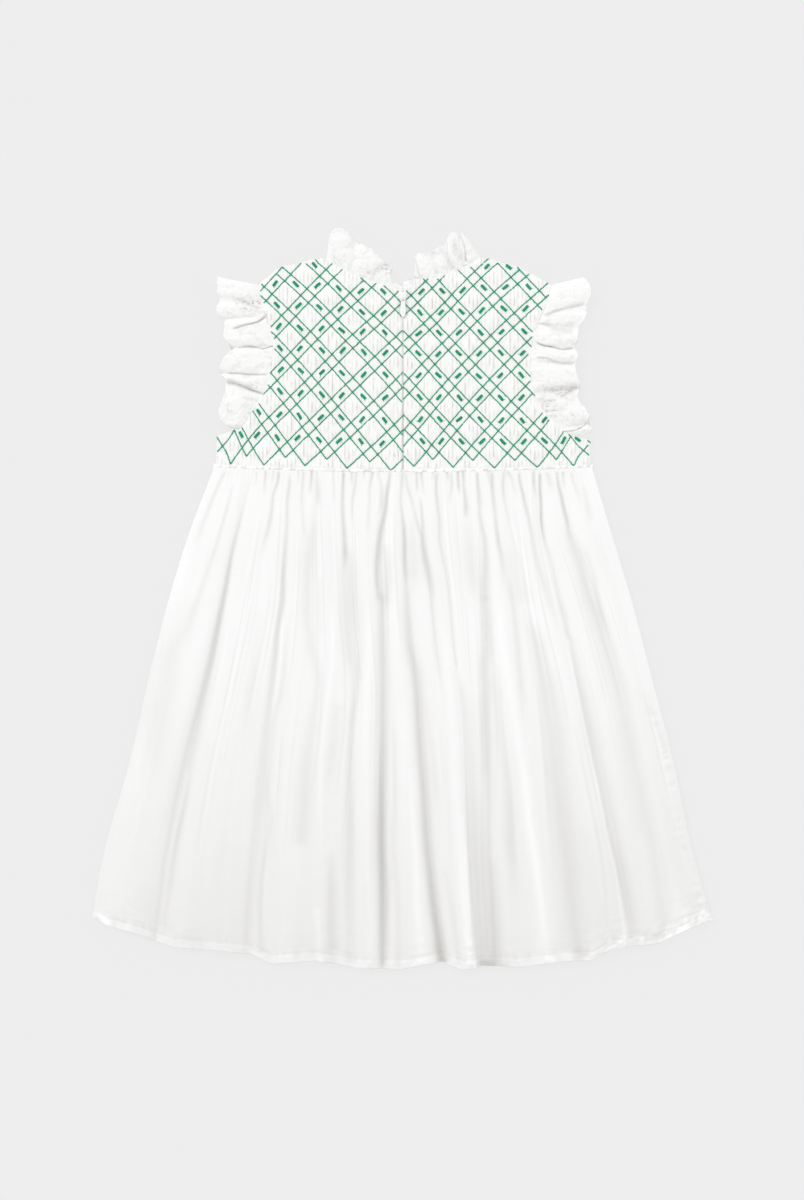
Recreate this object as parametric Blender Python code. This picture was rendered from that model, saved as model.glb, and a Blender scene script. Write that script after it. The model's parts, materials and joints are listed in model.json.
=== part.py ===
"""Toddler dress laid flat with its back upwards.

A smocked bodice closed by a zip at the centre back, a gathered skirt, and gathered frills at
the neck and the armholes. The front panels lie on the floor plane, z = 0, and the back panels
lie on them. Sizes and tables are in millimetres and the meshes are in metres. +Y points to the
neck, +X to the right of the back as it is seen from above, and +Z up.
"""
import math
from collections import namedtuple

import bmesh
import bpy
from mathutils import Vector

MM = 0.001

# ---- driving sizes, in millimetres ----
WALL = 1.2              # cloth with its seam turnings
GAP = 0.3               # between two pieces that are sewn together or lie on each other
LAYER = WALL + GAP      # height at which the back panels start

WAIST_Y = 92.6          # waist seam at the centre
WAIST_RISE = 3.6        # the waist seam climbs by this much to the side seams
HALF_WAIST = 134.6      # centre to side seam at the waist
SKIRT_HALF_TOP = 136.8  # half width of the skirt just under the waist seam
SIDE_TOP_OUT = 134.0    # underarm, top of the side seams
SIDE_TOP_LEFT_Y = 117.5
SIDE_TOP_RIGHT_Y = 114.6

# smocking: pleats run up and down, and the trellis of thread lines holds them down
PLEATS_PER_HALF = 46
PLEAT_DEPTH = 0.95
PLEAT_HELD = 0.5        # share of its depth that a pleat loses under a thread line
PUFF_HEIGHT = 0.7       # the cloth swells between the thread lines
TRELLIS_WIDTH = 30.8
TRELLIS_HEIGHT = 31.7
TRELLIS_CROSS_Y = 157.8  # a crossing of the trellis on the centre back line
SMOCK_ROWS = 21         # a quarter of the trellis apart
ROWS_BELOW_CROSS = 9    # of these rows, below that crossing
CUT_HEIGHTS = (0.5, 12.0)  # the cut to the outline goes through all the cloth
BODICE_LIFT = 2.4       # the smocked back stands this much above the flat front
ROOF_SIDE_OUT = 134.5   # and slopes down to the front at this distance out
ROOF_SIDE_SLOPE = 0.055
ROOF_TOP_Y = 262.6      # and at this height at the centre, which falls towards the shoulders' ends
ROOF_TOP_SLOPE = 0.10
ROOF_TOP_SLANT = 0.33

# zip at the centre back
ZIP_TAPE_WIDTH = 20.0
ZIP_TAPE_THICK = 0.9
ZIP_COIL_WIDTH = 1.2
ZIP_TOP_Y = 221.5
ZIP_SLOT = 0.9          # centre line to the cloth edge on each side
ZIP_MARGIN = 3.4        # unpleated cloth beside the zip
SLIDER_LENGTH = 7.0
SLIDER_WIDTH = 4.4
SLIDER_THICK = 1.0
SLIDER_Y = 217.3        # middle of the slider
PIVOT_Y = 216.0         # axis of the pull tab
BAR_RADIUS = 0.4        # bar of the pull tab that turns in the slider's bail
BAIL_INNER = 0.75
BAIL_OUTER = 1.35
BAIL_WIDTH = 1.2
PULL_THICK = 0.8
PULL_LENGTH = 13.4      # axis to tip
PULL_HALF_NECK = 1.6
PULL_HALF_WIDTH = 2.1

# frills
FRILL_WALL_BACK = 1.5   # measured straight up, on the sloping waves
FOLD_RADIUS = 0.9       # middle of the wall where a frill folds over at the shoulder
FRILL_STEPS = (0.0, 0.35, 0.7, 1.0)
FOLD_ANGLES = (0.0, 45.0, 90.0, 135.0, 180.0)
FRILL_SEAM = 0.5        # a frill starts this far past the edge that it is sewn to
FRILL_SEAM_FRONT = 0.7
FRILL_BULGE = 0.9
FRONT_FRILL_SCALE = 0.96

# A frill row is a line across the frill, from its seam to its free edge. "out" is the distance
# from the centre back, and lift is how high the wave raises the free edge.
FrillRow = namedtuple("FrillRow", "seam_out seam_y edge_out edge_y lift")

# from the underarm up to the shoulder, where the last row is the fold to the front
ARMHOLE_LEFT = [
    FrillRow(117.5, 122.6, 123.5, 123.2, 0.5),
    FrillRow(113.8, 125.8, 129.5, 127.0, 2.2),
    FrillRow(109.5, 133.5, 132.8, 134.3, 4.4),
    FrillRow(105.1, 141.5, 129.0, 144.7, 2.8),
    FrillRow(100.6, 147.6, 127.4, 154.8, 0.1),
    FrillRow(98.3, 154.6, 128.8, 159.2, 1.9),
    FrillRow(96.8, 161.0, 131.6, 162.6, 0.2),
    FrillRow(95.2, 168.0, 131.2, 169.6, 4.2),
    FrillRow(94.0, 176.0, 126.5, 176.8, 3.0),
    FrillRow(93.6, 182.2, 122.6, 181.0, 0.0),
    FrillRow(94.8, 189.5, 128.5, 187.6, 3.8),
    FrillRow(96.6, 197.3, 128.5, 196.6, 3.2),
    FrillRow(98.4, 203.8, 129.0, 201.0, 0.3),
    FrillRow(99.9, 208.3, 134.2, 206.6, 3.6),
    FrillRow(101.5, 212.6, 132.0, 214.8, 0.6),
    FrillRow(103.0, 218.4, 134.0, 221.6, 4.6),
    FrillRow(104.2, 223.6, 133.8, 228.0, 3.0),
    FrillRow(104.7, 225.4, 133.4, 231.0, 0.0),
]
ARMHOLE_RIGHT = [
    FrillRow(122.5, 117.2, 134.4, 119.2, 0.8),
    FrillRow(117.4, 119.4, 135.8, 122.8, 3.0),
    FrillRow(113.0, 122.6, 133.2, 126.0, 0.3),
    FrillRow(107.3, 129.3, 134.3, 131.5, 4.2),
    FrillRow(101.6, 135.2, 130.2, 138.6, 3.4),
    FrillRow(97.2, 142.0, 125.6, 145.2, 2.2),
    FrillRow(94.2, 149.2, 127.4, 151.4, 0.0),
    FrillRow(92.3, 157.0, 127.2, 157.4, 2.8),
    FrillRow(91.4, 164.0, 124.4, 163.6, 3.6),
    FrillRow(91.4, 170.2, 124.6, 168.6, 0.3),
    FrillRow(91.7, 176.0, 126.6, 174.4, 3.3),
    FrillRow(92.6, 183.0, 124.0, 180.2, 0.2),
    FrillRow(94.4, 190.4, 126.0, 187.4, 3.6),
    FrillRow(96.8, 198.4, 127.0, 194.6, 0.4),
    FrillRow(99.6, 204.6, 131.2, 202.6, 4.0),
    FrillRow(102.2, 210.4, 132.4, 210.8, 0.7),
    FrillRow(104.2, 217.0, 136.0, 220.6, 4.6),
    FrillRow(106.2, 223.0, 133.0, 228.4, 3.0),
    FrillRow(106.8, 225.2, 130.8, 231.0, 0.0),
]
# from the zip out to the shoulder, where the last row is the fold to the front
NECK_LEFT = [
    FrillRow(1.6, 223.0, 3.8, 226.8, 0.8),
    FrillRow(6.2, 223.9, 9.0, 231.5, 1.2),
    FrillRow(12.5, 225.5, 7.8, 237.0, 3.4),
    FrillRow(15.6, 226.5, 11.2, 240.4, 0.6),
    FrillRow(18.8, 227.6, 15.0, 243.6, 4.0),
    FrillRow(24.2, 229.3, 19.4, 248.4, 5.6),
    FrillRow(31.0, 231.6, 25.4, 253.2, 4.8),
    FrillRow(37.2, 234.2, 34.0, 257.2, 0.9),
    FrillRow(42.0, 237.0, 39.6, 263.4, 4.4),
    FrillRow(47.2, 239.8, 46.4, 266.4, 6.0),
    FrillRow(51.0, 242.6, 50.2, 265.0, 3.4),
    FrillRow(54.0, 244.8, 51.6, 263.4, 0.0),
]
NECK_RIGHT = [
    FrillRow(1.6, 224.2, 1.8, 229.6, 0.8),
    FrillRow(6.2, 227.8, 8.2, 232.2, 0.6),
    FrillRow(10.8, 230.4, 9.4, 246.6, 1.6),
    FrillRow(15.6, 231.0, 14.6, 248.4, 4.4),
    FrillRow(20.6, 231.4, 19.8, 247.6, 0.8),
    FrillRow(25.2, 232.0, 23.4, 252.4, 2.6),
    FrillRow(30.6, 233.2, 30.0, 254.2, 5.0),
    FrillRow(34.6, 234.6, 31.6, 257.8, 0.8),
    FrillRow(38.2, 235.9, 33.8, 262.2, 4.2),
    FrillRow(41.8, 237.6, 38.4, 262.6, 4.8),
    FrillRow(45.2, 239.4, 40.2, 261.6, 1.2),
    FrillRow(48.8, 241.4, 42.4, 263.8, 5.2),
    FrillRow(52.6, 243.8, 43.6, 264.0, 3.2),
    FrillRow(55.2, 245.6, 44.8, 263.2, 0.0),
]
# from the shoulder to the centre front; the same on both sides
NECK_FRONT = [
    FrillRow(53.3, 238.0, 48.5, 254.5, 0.0),
    FrillRow(50.5, 226.0, 43.5, 243.5, 0.0),
    FrillRow(44.0, 213.5, 36.0, 230.5, 0.0),
    FrillRow(33.0, 203.5, 26.5, 221.5, 0.0),
    FrillRow(17.5, 197.5, 14.0, 216.5, 0.0),
]
NECK_FRONT_CENTRE = FrillRow(0.0, 195.5, 0.0, 215.0, 0.0)

# shoulder seam, from the neck to the arm: distance out, y
OutlinePoint = namedtuple("OutlinePoint", "out y")
SHOULDER_LEFT = [
    OutlinePoint(58.6, 245.6),
    OutlinePoint(65.0, 245.2),
    OutlinePoint(72.0, 242.4),
    OutlinePoint(88.0, 239.8),
    OutlinePoint(96.5, 232.8),
    OutlinePoint(103.4, 227.4),
]
SHOULDER_RIGHT = [
    OutlinePoint(57.6, 246.0),
    OutlinePoint(63.0, 245.2),
    OutlinePoint(70.0, 242.4),
    OutlinePoint(82.5, 239.8),
    OutlinePoint(95.0, 232.8),
    OutlinePoint(105.4, 227.0),
]

# The skirt's lines run from the waist to the hem: its two sides and the troughs of its main
# folds. Gathers is the number of small gathers from this line to the next one, and x_at holds
# the line's x at each height of STATIONS.
STATIONS = (93.0, 50.0, 0.0, -60.0, -120.0, -180.0, -250.0)
SkirtLine = namedtuple("SkirtLine", "name gathers depth_waist depth_hem width_left width_right x_at")
SKIRT_LINES = [
    SkirtLine("side_left", 5, 0.0, 0.0, 1.0, 1.0,
              (-136.8, -153.3, -168.8, -184.0, -197.8, -214.9, -227.6)),
    SkirtLine("a", 6, 1.6, 2.8, 7.0, 9.0,
              (-110.9, -119.3, -129.5, -141.8, -157.3, -172.0, -177.1)),
    SkirtLine("b", 7, 0.8, 1.9, 6.0, 9.0,
              (-78.5, -82.2, -87.3, -95.4, -102.2, -106.9, -111.6)),
    SkirtLine("c", 6, 1.0, 1.6, 6.0, 8.0,
              (-43.2, -41.2, -37.9, -34.7, -37.2, -40.5, -43.9)),
    SkirtLine("d", 2, 1.4, 3.0, 7.0, 7.0,
              (-11.5, -16.4, -16.9, -14.4, -13.7, -13.7, -13.7)),
    SkirtLine("e", 4, 1.2, 3.4, 6.0, 8.0,
              (0.0, 0.4, 4.2, 9.2, 13.7, 18.5, 26.6)),
    SkirtLine("f", 7, 1.4, 3.2, 4.0, 16.0,
              (22.3, 27.0, 33.8, 39.6, 44.1, 47.1, 50.8)),
    SkirtLine("g", 3, 1.4, 1.6, 6.0, 8.0,
              (60.5, 61.2, 61.2, 62.1, 67.0, 74.9, 82.0)),
    SkirtLine("h", 3, 0.6, 1.8, 5.0, 9.0,
              (75.6, 80.6, 87.1, 103.2, 116.6, 124.3, 129.6)),
    SkirtLine("i", 4, 1.5, 2.8, 4.0, 12.0,
              (90.0, 98.3, 112.6, 125.6, 138.2, 150.9, 162.7)),
    SkirtLine("j", 5, 1.2, 1.4, 6.0, 9.0,
              (109.4, 121.4, 141.3, 159.8, 173.5, 185.0, 196.6)),
    SkirtLine("side_right", 0, 0.0, 0.0, 1.0, 1.0,
              (136.8, 149.7, 164.6, 180.4, 195.9, 208.7, 229.2)),
]
# rows of the skirt, from the waist to the hem, as a share of its length
SKIRT_ROWS = (0.0, 0.035, 0.08, 0.14, 0.21, 0.30, 0.40, 0.51, 0.62, 0.73, 0.83, 0.92, 1.0)
SKIRT_WALL_BACK = 1.3    # measured straight up, on the sloping folds
GATHER_DEPTH = 1.5
GATHER_LENGTHS = (58.0, 92.0, 70.0, 118.0, 64.0, 84.0, 132.0, 76.0)
CREASE_DEPTH = 0.45
WAIST_BLEND = 60.0       # the skirt takes its own height over this length below the waist
TROUGH_START = 18.0      # a main fold reaches its depth over this length below the waist
SKIRT_LIFT_MIDDLE = 3.6
SKIRT_LIFT_HEM = 2.8
SKIRT_EDGE_WIDTH = 26.0  # the skirt comes down to its side seams over this width
HEM_FRONT_SHORT = 0.8    # the front's hem stays this much inside the back's
HEM_FRONT_IN = 0.5

# lower edge of the hem
HemPoint = namedtuple("HemPoint", "x y")
HEM = [
    HemPoint(-224.0, -229.7),
    HemPoint(-216.7, -234.7),
    HemPoint(-195.1, -240.2),
    HemPoint(-166.3, -250.6),
    HemPoint(-137.0, -252.7),
    HemPoint(-108.7, -255.6),
    HemPoint(-94.3, -262.6),
    HemPoint(-62.0, -260.2),
    HemPoint(-33.1, -265.5),
    HemPoint(-1.0, -266.3),
    HemPoint(28.1, -261.0),
    HemPoint(42.5, -267.0),
    HemPoint(51.0, -266.4),
    HemPoint(56.9, -263.6),
    HemPoint(85.7, -264.8),
    HemPoint(110.0, -261.4),
    HemPoint(136.1, -259.9),
    HemPoint(150.5, -251.6),
    HemPoint(184.0, -247.8),
    HemPoint(208.1, -237.6),
    HemPoint(224.0, -231.8),
]


# ---- scene helpers ----

def clear_scene():
    for old in list(bpy.data.objects):
        bpy.data.objects.remove(old, do_unlink=True)


def new_collection(name):
    collection = bpy.data.collections.new(name)
    bpy.context.scene.collection.children.link(collection)
    return collection


def make_material(name, colour, roughness, metallic=0.0):
    material = bpy.data.materials.new(name)
    material.use_nodes = True
    shader = material.node_tree.nodes["Principled BSDF"]
    shader.inputs["Base Color"].default_value = (*colour, 1.0)
    shader.inputs["Roughness"].default_value = roughness
    shader.inputs["Metallic"].default_value = metallic
    return material


def add_object(name, data, collection, colour=(0.93, 0.93, 0.92), roughness=0.85, metallic=0.0):
    thing = bpy.data.objects.new(name, data)
    collection.objects.link(thing)
    data.materials.append(make_material(name + "_finish", colour, roughness, metallic))
    return thing


def mesh_from_bmesh(name, bm):
    mesh = bpy.data.meshes.new(name)
    bm.to_mesh(mesh)
    bm.free()
    return mesh


# ---- measuring helpers ----

def between(points, key):
    """Straight-line value at key in a list of (key, value) pairs in rising order of key."""
    if key <= points[0][0]:
        return points[0][1]
    for (low, low_value), (high, high_value) in zip(points, points[1:]):
        if key <= high:
            share = (key - low) / (high - low)
            return low_value + (high_value - low_value) * share
    return points[-1][1]


def clamp(value, low, high):
    return max(low, min(high, value))


def waist_y(x):
    return WAIST_Y + WAIST_RISE * (x / HALF_WAIST) ** 2


def bodice_roof(x, y):
    """Height of the back bodice's inside above its lowest level: a low roof with flat slopes."""
    to_side = ROOF_SIDE_SLOPE * (ROOF_SIDE_OUT - abs(x))
    to_shoulder = ROOF_TOP_SLOPE * (ROOF_TOP_Y - ROOF_TOP_SLANT * abs(x) - y)
    return clamp(min(BODICE_LIFT, to_side, to_shoulder), 0.0, BODICE_LIFT)


# ---- walls ----

def closed_wall(name, outer, inner):
    """Closed mesh between two grids of points, in millimetres, with the same rows and columns."""
    bm = bmesh.new()
    grids = []
    for grid in (outer, inner):
        grids.append([[bm.verts.new(point * MM) for point in row] for row in grid])
    rows = len(outer)
    columns = len(outer[0])
    for grid in grids:
        for i in range(rows - 1):
            for j in range(columns - 1):
                bm.faces.new((grid[i][j], grid[i][j + 1], grid[i + 1][j + 1], grid[i + 1][j]))
    rim = [(0, j) for j in range(columns)]
    rim += [(i, columns - 1) for i in range(1, rows)]
    rim += [(rows - 1, j) for j in range(columns - 2, -1, -1)]
    rim += [(i, 0) for i in range(rows - 2, 0, -1)]
    for (i, j), (k, m) in zip(rim, rim[1:] + rim[:1]):
        bm.faces.new((grids[0][i][j], grids[0][k][m], grids[1][k][m], grids[1][i][j]))
    bmesh.ops.recalc_face_normals(bm, faces=bm.faces[:])
    return mesh_from_bmesh(name, bm)


def join_flat_faces(mesh, angle=0.0005):
    """Merge neighbouring faces that lie in one plane."""
    bm = bmesh.new()
    bm.from_mesh(mesh)
    bmesh.ops.dissolve_limit(bm, angle_limit=angle, verts=bm.verts[:], edges=bm.edges[:])
    bm.to_mesh(mesh)
    bm.free()


def flat_curve(name, outline, low, high):
    """Filled flat outline, in millimetres, that reaches from height low to height high."""
    curve = bpy.data.curves.new(name, "CURVE")
    curve.dimensions = "2D"
    curve.fill_mode = "BOTH"
    curve.extrude = (high - low) / 2 * MM
    spline = curve.splines.new("POLY")
    spline.points.add(len(outline) - 1)
    for point, (x, y) in zip(spline.points, outline):
        point.co = (x * MM, y * MM, 0.0, 1.0)
    spline.use_cyclic_u = True
    return curve


def flat_panel(name, outline, collection):
    """Cloth panel lying on the floor plane."""
    panel = add_object(name, flat_curve(name, outline, 0.0, WALL), collection)
    panel.location.z = WALL / 2 * MM
    return panel


def prism_mesh(name, outline, low, high, collection):
    """Closed prism over an outline, with its middle height at its own origin."""
    guide = bpy.data.objects.new(name + "_guide", flat_curve(name, outline, low, high))
    collection.objects.link(guide)
    bpy.context.view_layer.update()
    ready = guide.evaluated_get(bpy.context.evaluated_depsgraph_get())
    mesh = bpy.data.meshes.new_from_object(ready)
    bpy.data.objects.remove(guide)
    bm = bmesh.new()
    bm.from_mesh(mesh)
    bmesh.ops.remove_doubles(bm, verts=bm.verts[:], dist=0.00001)
    bmesh.ops.recalc_face_normals(bm, faces=bm.faces[:])
    bm.to_mesh(mesh)
    bm.free()
    return mesh


def tool_body(name, mesh, collection):
    """Hidden body that shapes another one."""
    tool = bpy.data.objects.new(name, mesh)
    tool.hide_render = True
    tool.display_type = "WIRE"
    collection.objects.link(tool)
    return tool


def add_boolean(thing, cutter, operation):
    boolean = thing.modifiers.new(operation.lower(), "BOOLEAN")
    boolean.operation = operation
    boolean.solver = "EXACT"
    boolean.object = cutter


# ---- bodice ----

def seam_points(rows, side):
    return [(side * row.seam_out, row.seam_y) for row in rows]


def waist_points(side, start_out):
    """Points of the bodice's lower edge, from the centre out to the side seam."""
    outs = (start_out, 40.0, 75.0, 105.0, HALF_WAIST)
    return [(side * out, waist_y(out) + GAP / 2) for out in outs]


def back_outline(side, side_top_y, armhole, shoulder, neck):
    """Half of the back bodice: waist, side seam, armhole, shoulder, neckline."""
    outline = waist_points(side, ZIP_SLOT)
    outline.append((side * SIDE_TOP_OUT, side_top_y))
    outline += seam_points(armhole, side)
    outline += [(side * point.out, point.y) for point in reversed(shoulder)]
    outline += seam_points(reversed(neck), side)[:-1]
    outline.append((side * ZIP_SLOT, neck[0].seam_y - 0.2))
    return outline


def near_line(value):
    """1 on a thread line of the trellis, falling to 0 in the middle of a diamond."""
    share = value - math.floor(value)
    distance = min(abs(share - line) for line in (-1 / 6, 1 / 6, 5 / 6, 7 / 6))
    return 1.0 - clamp(distance / (1 / 3), 0.0, 1.0)


def smocking_height(x, y, ridge):
    """Height of the pleated cloth over the wall: pleats, held down along the thread lines."""
    across = x / TRELLIS_WIDTH
    along = (y - TRELLIS_CROSS_Y) / TRELLIS_HEIGHT
    held = max(near_line(across + along), near_line(across - along))
    puff = PUFF_HEIGHT * (1.0 - held ** 2)
    pleat = PLEAT_DEPTH * (1.0 - PLEAT_HELD * held) if ridge else 0.0
    beside_zip = clamp((abs(x) - ZIP_MARGIN) / 2.0, 0.0, 1.0)
    return (puff + pleat) * beside_zip


def smocked_half(name, side, side_top_y, armhole, shoulder, neck, collection, cutters):
    """One half of the back bodice, pleated outside and plain inside, cut to its outline."""
    columns = 2 * PLEATS_PER_HALF
    first_out = ZIP_SLOT - 0.4
    last_out = HALF_WAIST + 1.5
    row_height = TRELLIS_HEIGHT / 4
    low_y = TRELLIS_CROSS_Y - ROWS_BELOW_CROSS * row_height
    outer = []
    inner = []
    for i in range(SMOCK_ROWS):
        y = low_y + row_height * i
        outer_row = []
        inner_row = []
        for j in range(columns + 1):
            x = side * (first_out + (last_out - first_out) * j / columns)
            inside = LAYER + bodice_roof(x, y)
            outside = inside + WALL + smocking_height(x, y, j % 2 == 1)
            outer_row.append(Vector((x, y, outside)))
            inner_row.append(Vector((x, y, inside)))
        outer.append(outer_row)
        inner.append(inner_row)
    mesh = closed_wall(name, outer, inner)
    join_flat_faces(mesh)
    half = add_object(name, mesh, collection)
    outline = back_outline(side, side_top_y, armhole, shoulder, neck)
    low, high = CUT_HEIGHTS
    cutter = tool_body(name + "_cut", prism_mesh(name + "_cut", outline, low, high, cutters), cutters)
    cutter.location.z = (low + high) / 2 * MM
    add_boolean(half, cutter, "INTERSECT")
    return half


def front_frill_rows(armhole):
    """Every second row of an armhole's table: the front half of the frill lies under these."""
    return armhole[::-1][1::2]


def front_bodice(collection):
    left = waist_points(-1, 0.0) + [(-SIDE_TOP_OUT, SIDE_TOP_LEFT_Y)]
    left += seam_points(reversed(front_frill_rows(ARMHOLE_LEFT)), -1)
    left += seam_points(ARMHOLE_LEFT[-1:], -1)
    left += [(-point.out, point.y) for point in reversed(SHOULDER_LEFT)]
    left += seam_points(NECK_LEFT[-1:] + NECK_FRONT, -1)
    right = waist_points(1, 0.0)[1:] + [(SIDE_TOP_OUT, SIDE_TOP_RIGHT_Y)]
    right += seam_points(reversed(front_frill_rows(ARMHOLE_RIGHT)), 1)
    right += seam_points(ARMHOLE_RIGHT[-1:], 1)
    right += [(point.out, point.y) for point in reversed(SHOULDER_RIGHT)]
    right += seam_points(NECK_RIGHT[-1:] + NECK_FRONT + [NECK_FRONT_CENTRE], 1)
    outline = left + right[::-1]
    return flat_panel("front_bodice", outline, collection)


# ---- frills ----

def frill_line(row, side, seam_gap, scale=1.0):
    """Start, end and direction of a frill row in plan."""
    start = Vector((side * row.seam_out, row.seam_y, 0.0))
    end = Vector((side * row.edge_out, row.edge_y, 0.0))
    direction = (end - start).normalized()
    end = start + (end - start) * scale
    return start + direction * seam_gap, end, direction


def back_section(row, side):
    """Across the frill's upper half: outer and inner points, offset straight up and down."""
    start, end, _ = frill_line(row, side, FRILL_SEAM)
    fold_level = WALL / 2 + 2 * FOLD_RADIUS
    seam_level = max(fold_level, LAYER + WALL / 2 + bodice_roof(start.x, start.y))
    edge_level = fold_level + row.lift
    half = Vector((0.0, 0.0, FRILL_WALL_BACK / 2))
    outer = []
    inner = []
    for share in FRILL_STEPS:
        middle = start.lerp(end, share)
        bulge = FRILL_BULGE * 4 * share * (1 - share) * min(1.0, row.lift / 2)
        middle.z = seam_level + (edge_level - seam_level) * share + bulge
        outer.append(middle + half)
        inner.append(middle - half)
    return outer, inner


def front_section(row, side, scale=FRONT_FRILL_SCALE):
    """Across the frill's lower half, flat on the floor plane."""
    start, end, _ = frill_line(row, side, FRILL_SEAM_FRONT, scale)
    points = [start.lerp(end, share) for share in FRILL_STEPS]
    outer = [Vector((point.x, point.y, 0.0)) for point in points]
    inner = [Vector((point.x, point.y, WALL)) for point in points]
    return outer, inner


def fold_sections(row, side, away):
    """Round the fold from the upper half to the lower half; away points out of the fold."""
    start, end, direction = frill_line(row, side, FRILL_SEAM)
    outward = Vector((-direction.y, direction.x, 0.0))
    if outward.dot(away) < 0:
        outward.negate()
    sections = []
    for degrees in FOLD_ANGLES:
        turn = math.radians(degrees)
        normal = Vector((0.0, 0.0, math.cos(turn))) + outward * math.sin(turn)
        centre_height = Vector((0.0, 0.0, WALL / 2 + FOLD_RADIUS))
        outer = []
        inner = []
        for share in FRILL_STEPS:
            centre = start.lerp(end, share) + centre_height
            outer.append(centre + normal * (FOLD_RADIUS + WALL / 2))
            inner.append(centre + normal * (FOLD_RADIUS - WALL / 2))
        sections.append((outer, inner))
    return sections


def frill_object(name, sections, collection):
    outer = [section[0] for section in sections]
    inner = [section[1] for section in sections]
    return add_object(name, closed_wall(name, outer, inner), collection)


def armhole_frill(name, armhole, side, collection):
    sections = [back_section(row, side) for row in armhole[:-1]]
    sections += fold_sections(armhole[-1], side, Vector((0.0, 1.0, 0.0)))
    sections += [front_section(row, side) for row in front_frill_rows(armhole)]
    return frill_object(name, sections, collection)


def neck_frill(collection):
    """One strip from the zip's left edge, round the front, to the zip's right edge."""
    sections = [back_section(row, -1) for row in NECK_LEFT[:-1]]
    sections += fold_sections(NECK_LEFT[-1], -1, Vector((-1.0, 0.0, 0.0)))
    sections += [front_section(row, -1, 1.0) for row in NECK_FRONT]
    sections += [front_section(NECK_FRONT_CENTRE, 1, 1.0)]
    sections += [front_section(row, 1, 1.0) for row in reversed(NECK_FRONT)]
    sections += reversed(fold_sections(NECK_RIGHT[-1], 1, Vector((1.0, 0.0, 0.0))))
    sections += [back_section(row, 1) for row in reversed(NECK_RIGHT[:-1])]
    return frill_object("neck_frill", sections, collection)


# ---- skirt ----

def line_x(line, y):
    points = sorted(zip(STATIONS, line.x_at))
    if y > STATIONS[0]:
        return line.x_at[0]
    return between(points, y)


def hem_y(x):
    return between([(point.x, point.y) for point in HEM], x)


def skirt_top_y(x):
    return waist_y(x) - GAP / 2


def fold_trough(line, x, share):
    """Depth of one main fold at x, share of the way from the waist to the hem."""
    offset = x - line_x(line, STATIONS[0] + (STATIONS[-1] - STATIONS[0]) * share)
    width = line.width_left if offset < 0 else line.width_right
    depth = line.depth_waist + (line.depth_hem - line.depth_waist) * min(1.0, share * 1.6)
    return depth / (1.0 + (offset / width) ** 2) ** 2


def skirt_inside(x, y, share, sides, column):
    """Height of the back skirt's inside; sides holds the panel's two edges at this height."""
    below_waist = waist_y(x) - y
    to_edge = min(x - sides[0], sides[1] - x)
    lift = between(((0.25, SKIRT_LIFT_MIDDLE), (1.0, SKIRT_LIFT_HEM)), share)
    lower_roof = lift * math.sin(math.pi / 2 * clamp(to_edge / SKIRT_EDGE_WIDTH, 0.0, 1.0))
    roof = between(((0.0, bodice_roof(x, WAIST_Y)), (WAIST_BLEND, lower_roof)), below_waist)
    troughs = sum(fold_trough(line, x, share) for line in SKIRT_LINES[1:-1])
    troughs *= clamp(below_waist / TROUGH_START, 0.0, 1.0)
    gather_length = GATHER_LENGTHS[(column // 2) % len(GATHER_LENGTHS)]
    fade = clamp(1.0 - below_waist / gather_length, 0.0, 1.0)
    gather = GATHER_DEPTH * fade if column % 2 == 1 else 0.0
    crease = CREASE_DEPTH * math.cos(column * 1.9) * math.sin(math.pi * clamp(share * 1.5, 0.0, 1.0))
    edge_fade = clamp(to_edge / 12.0, 0.0, 1.0)
    body = clamp(roof - troughs + crease * edge_fade, 0.0, SKIRT_LIFT_MIDDLE)
    return LAYER + body + gather * edge_fade


def skirt_columns(y):
    """x of every column at height y: each stretch between two lines holds its gathers."""
    xs = []
    for line, following in zip(SKIRT_LINES, SKIRT_LINES[1:]):
        start = line_x(line, y)
        end = line_x(following, y)
        steps = 2 * line.gathers
        xs += [start + (end - start) * step / steps for step in range(steps)]
    xs.append(line_x(SKIRT_LINES[-1], y))
    return xs


def back_skirt(collection):
    hem_xs = [clamp(x, HEM[0].x, HEM[-1].x) for x in skirt_columns(STATIONS[-1])]
    outer = []
    inner = []
    for share in SKIRT_ROWS:
        outer_row = []
        inner_row = []
        for column, hem_x in enumerate(hem_xs):
            top = skirt_top_y(skirt_columns(STATIONS[0])[column])
            y = top + (hem_y(hem_x) - top) * share
            xs = skirt_columns(y)
            x = xs[column]
            inside = skirt_inside(x, y, share, (xs[0], xs[-1]), column)
            inner_row.append(Vector((x, y, inside)))
            outer_row.append(Vector((x, y, inside + SKIRT_WALL_BACK)))
        outer.append(outer_row)
        inner.append(inner_row)
    return add_object("back_skirt", closed_wall("back_skirt", outer, inner), collection)


def front_skirt(collection):
    """Flat front panel under the back one, with the same sides and hem."""
    left = SKIRT_LINES[0]
    right = SKIRT_LINES[-1]
    heights = (50.0, 0.0, -60.0, -120.0, -180.0)
    top_xs = (-SKIRT_HALF_TOP, -90.0, -45.0, 0.0, 45.0, 90.0, SKIRT_HALF_TOP)
    outline = [(x, skirt_top_y(x)) for x in top_xs]
    outline += [(line_x(right, y), y) for y in heights]
    for point in reversed(HEM):
        inwards = HEM_FRONT_IN if point.x <= 0 else -HEM_FRONT_IN
        outline.append((point.x + inwards, point.y + HEM_FRONT_SHORT))
    outline += [(line_x(left, y), y) for y in reversed(heights)]
    return flat_panel("front_skirt", outline, collection)


# ---- zip ----

def box_mesh(name, low, high):
    """Box between two corners, in millimetres."""
    bm = bmesh.new()
    bmesh.ops.create_cube(bm, size=1.0)
    size = [(b - a) * MM for a, b in zip(low, high)]
    middle = [(a + b) / 2 * MM for a, b in zip(low, high)]
    bmesh.ops.scale(bm, vec=size, verts=bm.verts[:])
    bmesh.ops.translate(bm, vec=middle, verts=bm.verts[:])
    return mesh_from_bmesh(name, bm)


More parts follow.
